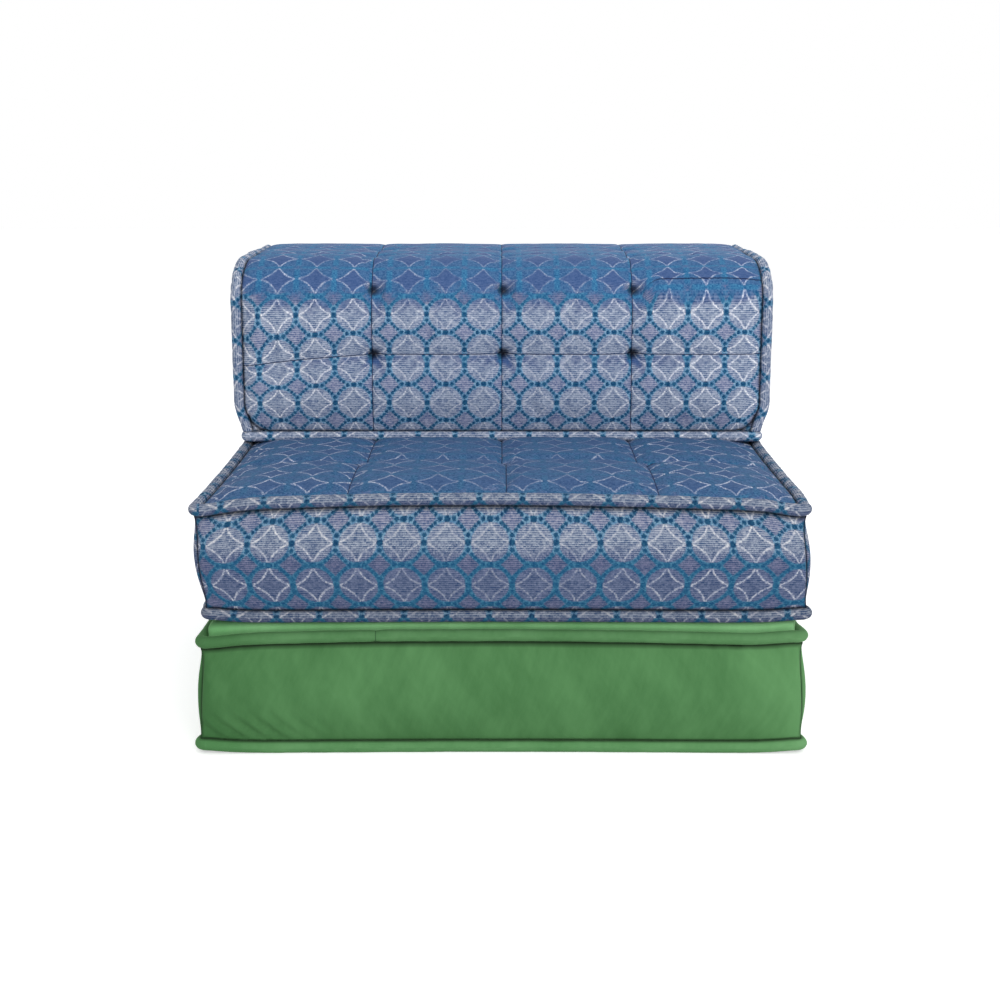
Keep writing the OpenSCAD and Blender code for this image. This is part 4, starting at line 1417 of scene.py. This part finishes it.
def zip_teeth(core, finish):
    """Two rows of moulded teeth that mesh in the middle."""
    name = core.body + "_zip_teeth"
    low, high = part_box(name)
    room, middle = high - low, (low + high) / 2
    count = round(room.x / TOOTH_PITCH)
    size = Matrix.Diagonal((TOOTH_SHARE * TOOTH_PITCH, room.y, TOOTH_SHARE * room.z, 1))
    bm = bmesh.new()
    for k in range(2 * count):
        side = 1 if k % 2 else -1
        centre = Vector((low.x + TOOTH_PITCH / 2 * (k + 0.5), middle.y,
                         middle.z + side * (1 - TOOTH_SHARE) / 2 * room.z))
        bmesh.ops.create_cube(bm, size=1.0, matrix=Matrix.Translation(centre) @ size)
    bevel_edges(bm, 0.0002, 1)
    return finish_mesh(bm, name + "_row", core.body, name, (finish, "zip_teeth"))


def mattress_zip(mattress, tape, teeth):
    """A zip between the strips of the rear band, below their swelling."""
    core = mattress.core
    zip_tape(core, tape, lambda u: min(ZIP_OUT, band_out(mattress, u, 0.5) - 0.001))
    zip_teeth(core, teeth)


def dress_nodes():
    """Finishes for the solids that stay: twine and metal."""
    finishes = {"tuft_twines": TWINE, "zip_slider": NICKEL, "zip_pull": NICKEL}
    for name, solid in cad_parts.items():
        for ending, finish in finishes.items():
            if name.endswith(ending):
                solid.data.materials.clear()
                solid.data.materials.append(finish)


# The photograph's camera, fitted to places on the sofa: its lens and its picture's width in
# pixels, its sensor in millimetres, its eye, and how many degrees it looks down
LENS_PIXELS = 1775.0
PICTURE_PIXELS = 1000.0
SENSOR = 36.0
EYE = (-0.0035, -3.304, 1.0655)
LOOKS_DOWN = 12.66


def camera():
    data = bpy.data.cameras.new("camera")
    data.sensor_width = SENSOR
    data.lens = LENS_PIXELS / PICTURE_PIXELS * SENSOR
    view = added("camera", data)
    view.location = EYE
    view.rotation_euler = (math.radians(90 - LOOKS_DOWN), 0, 0)
    bpy.context.scene.camera = view


def lamp(name, spot, aim, size, power):
    data = bpy.data.lights.new(name, "AREA")
    data.shape = "RECTANGLE"
    data.size, data.size_y = size
    data.energy = power
    light = added(name, data)
    light.location = spot
    light.rotation_euler = (Vector(aim) - Vector(spot)).to_track_quat("-Z", "Y").to_euler()


def seen_directly(tree):
    """1 for a ray from the camera, a mirror or clear glass."""
    rays = tree.nodes.new("ShaderNodeLightPath")
    camera_ray = Term(tree, rays.outputs["Is Camera Ray"])
    return camera_ray.most(Term(tree, rays.outputs["Is Glossy Ray"])).most(
        Term(tree, rays.outputs["Is Transmission Ray"]))


# How brightly the world lights the sofa, and the floor glows for the camera
AMBIENT = 0.55
FLOOR_GLOW = 0.5
# The softboxes, as (name, place, aim, size, power)
SOFTBOXES = (("front_softbox", (0.3, -3.6, 2.0), (0, 0, 0.4), (2.4, 1.8), 58),
             ("right_softbox", (2.6, -2.0, 1.8), (0, 0, 0.4), (1.6, 1.6), 16),
             ("top_softbox", (0.2, 0.2, 3.2), (0, 0, 0.4), (2.4, 2.4), 18),
             ("rear_softbox", (0.8, 3.0, 2.2), (0, 0.2, 0.4), (2.0, 1.6), 16))


def studio():
    """A white studio: world, floor and softboxes."""
    scene = bpy.context.scene
    scene.view_settings.view_transform = "Standard"
    world = bpy.data.worlds.new("studio")
    scene.world = world
    world.use_nodes = True
    tree = world.node_tree
    background = tree.nodes["Background"]
    background.inputs["Color"].default_value = WHITE
    strength = seen_directly(tree) * (1.0 - AMBIENT) + AMBIENT
    feed(tree, strength, background.inputs["Strength"])

    bm = bmesh.new()
    bmesh.ops.create_grid(bm, x_segments=1, y_segments=1, size=12.0)
    mesh = bpy.data.meshes.new("floor")
    bm.to_mesh(mesh)
    bm.free()
    floor = added("floor", mesh)
    material, tree, surface = new_material("pale_floor")
    surface.inputs["Base Color"].default_value = (0.9, 0.9, 0.9, 1.0)
    surface.inputs["Roughness"].default_value = 0.9
    surface.inputs["Emission Color"].default_value = WHITE
    feed(tree, seen_directly(tree) * FLOOR_GLOW, surface.inputs["Emission Strength"])
    mesh.materials.append(material)

    for softbox in SOFTBOXES:
        lamp(*softbox)


camera()
studio()
mattress_cover(BASE_MATTRESS)
base_top_panel()
mattress_cover(SEAT_MATTRESS)
seat_top_panel()
bolster_cover()
mattress_zip(BASE_MATTRESS, GREEN_TAPE, GREEN_TEETH)
mattress_zip(SEAT_MATTRESS, BLUE_TAPE, BLUE_TEETH)
zip_tape(BACK, BLUE_TAPE, lambda u: BAND)
zip_teeth(BACK, BLUE_TEETH)
foam_block(BASE)
foam_block(SEAT)
bolster_foam()
dress_nodes()
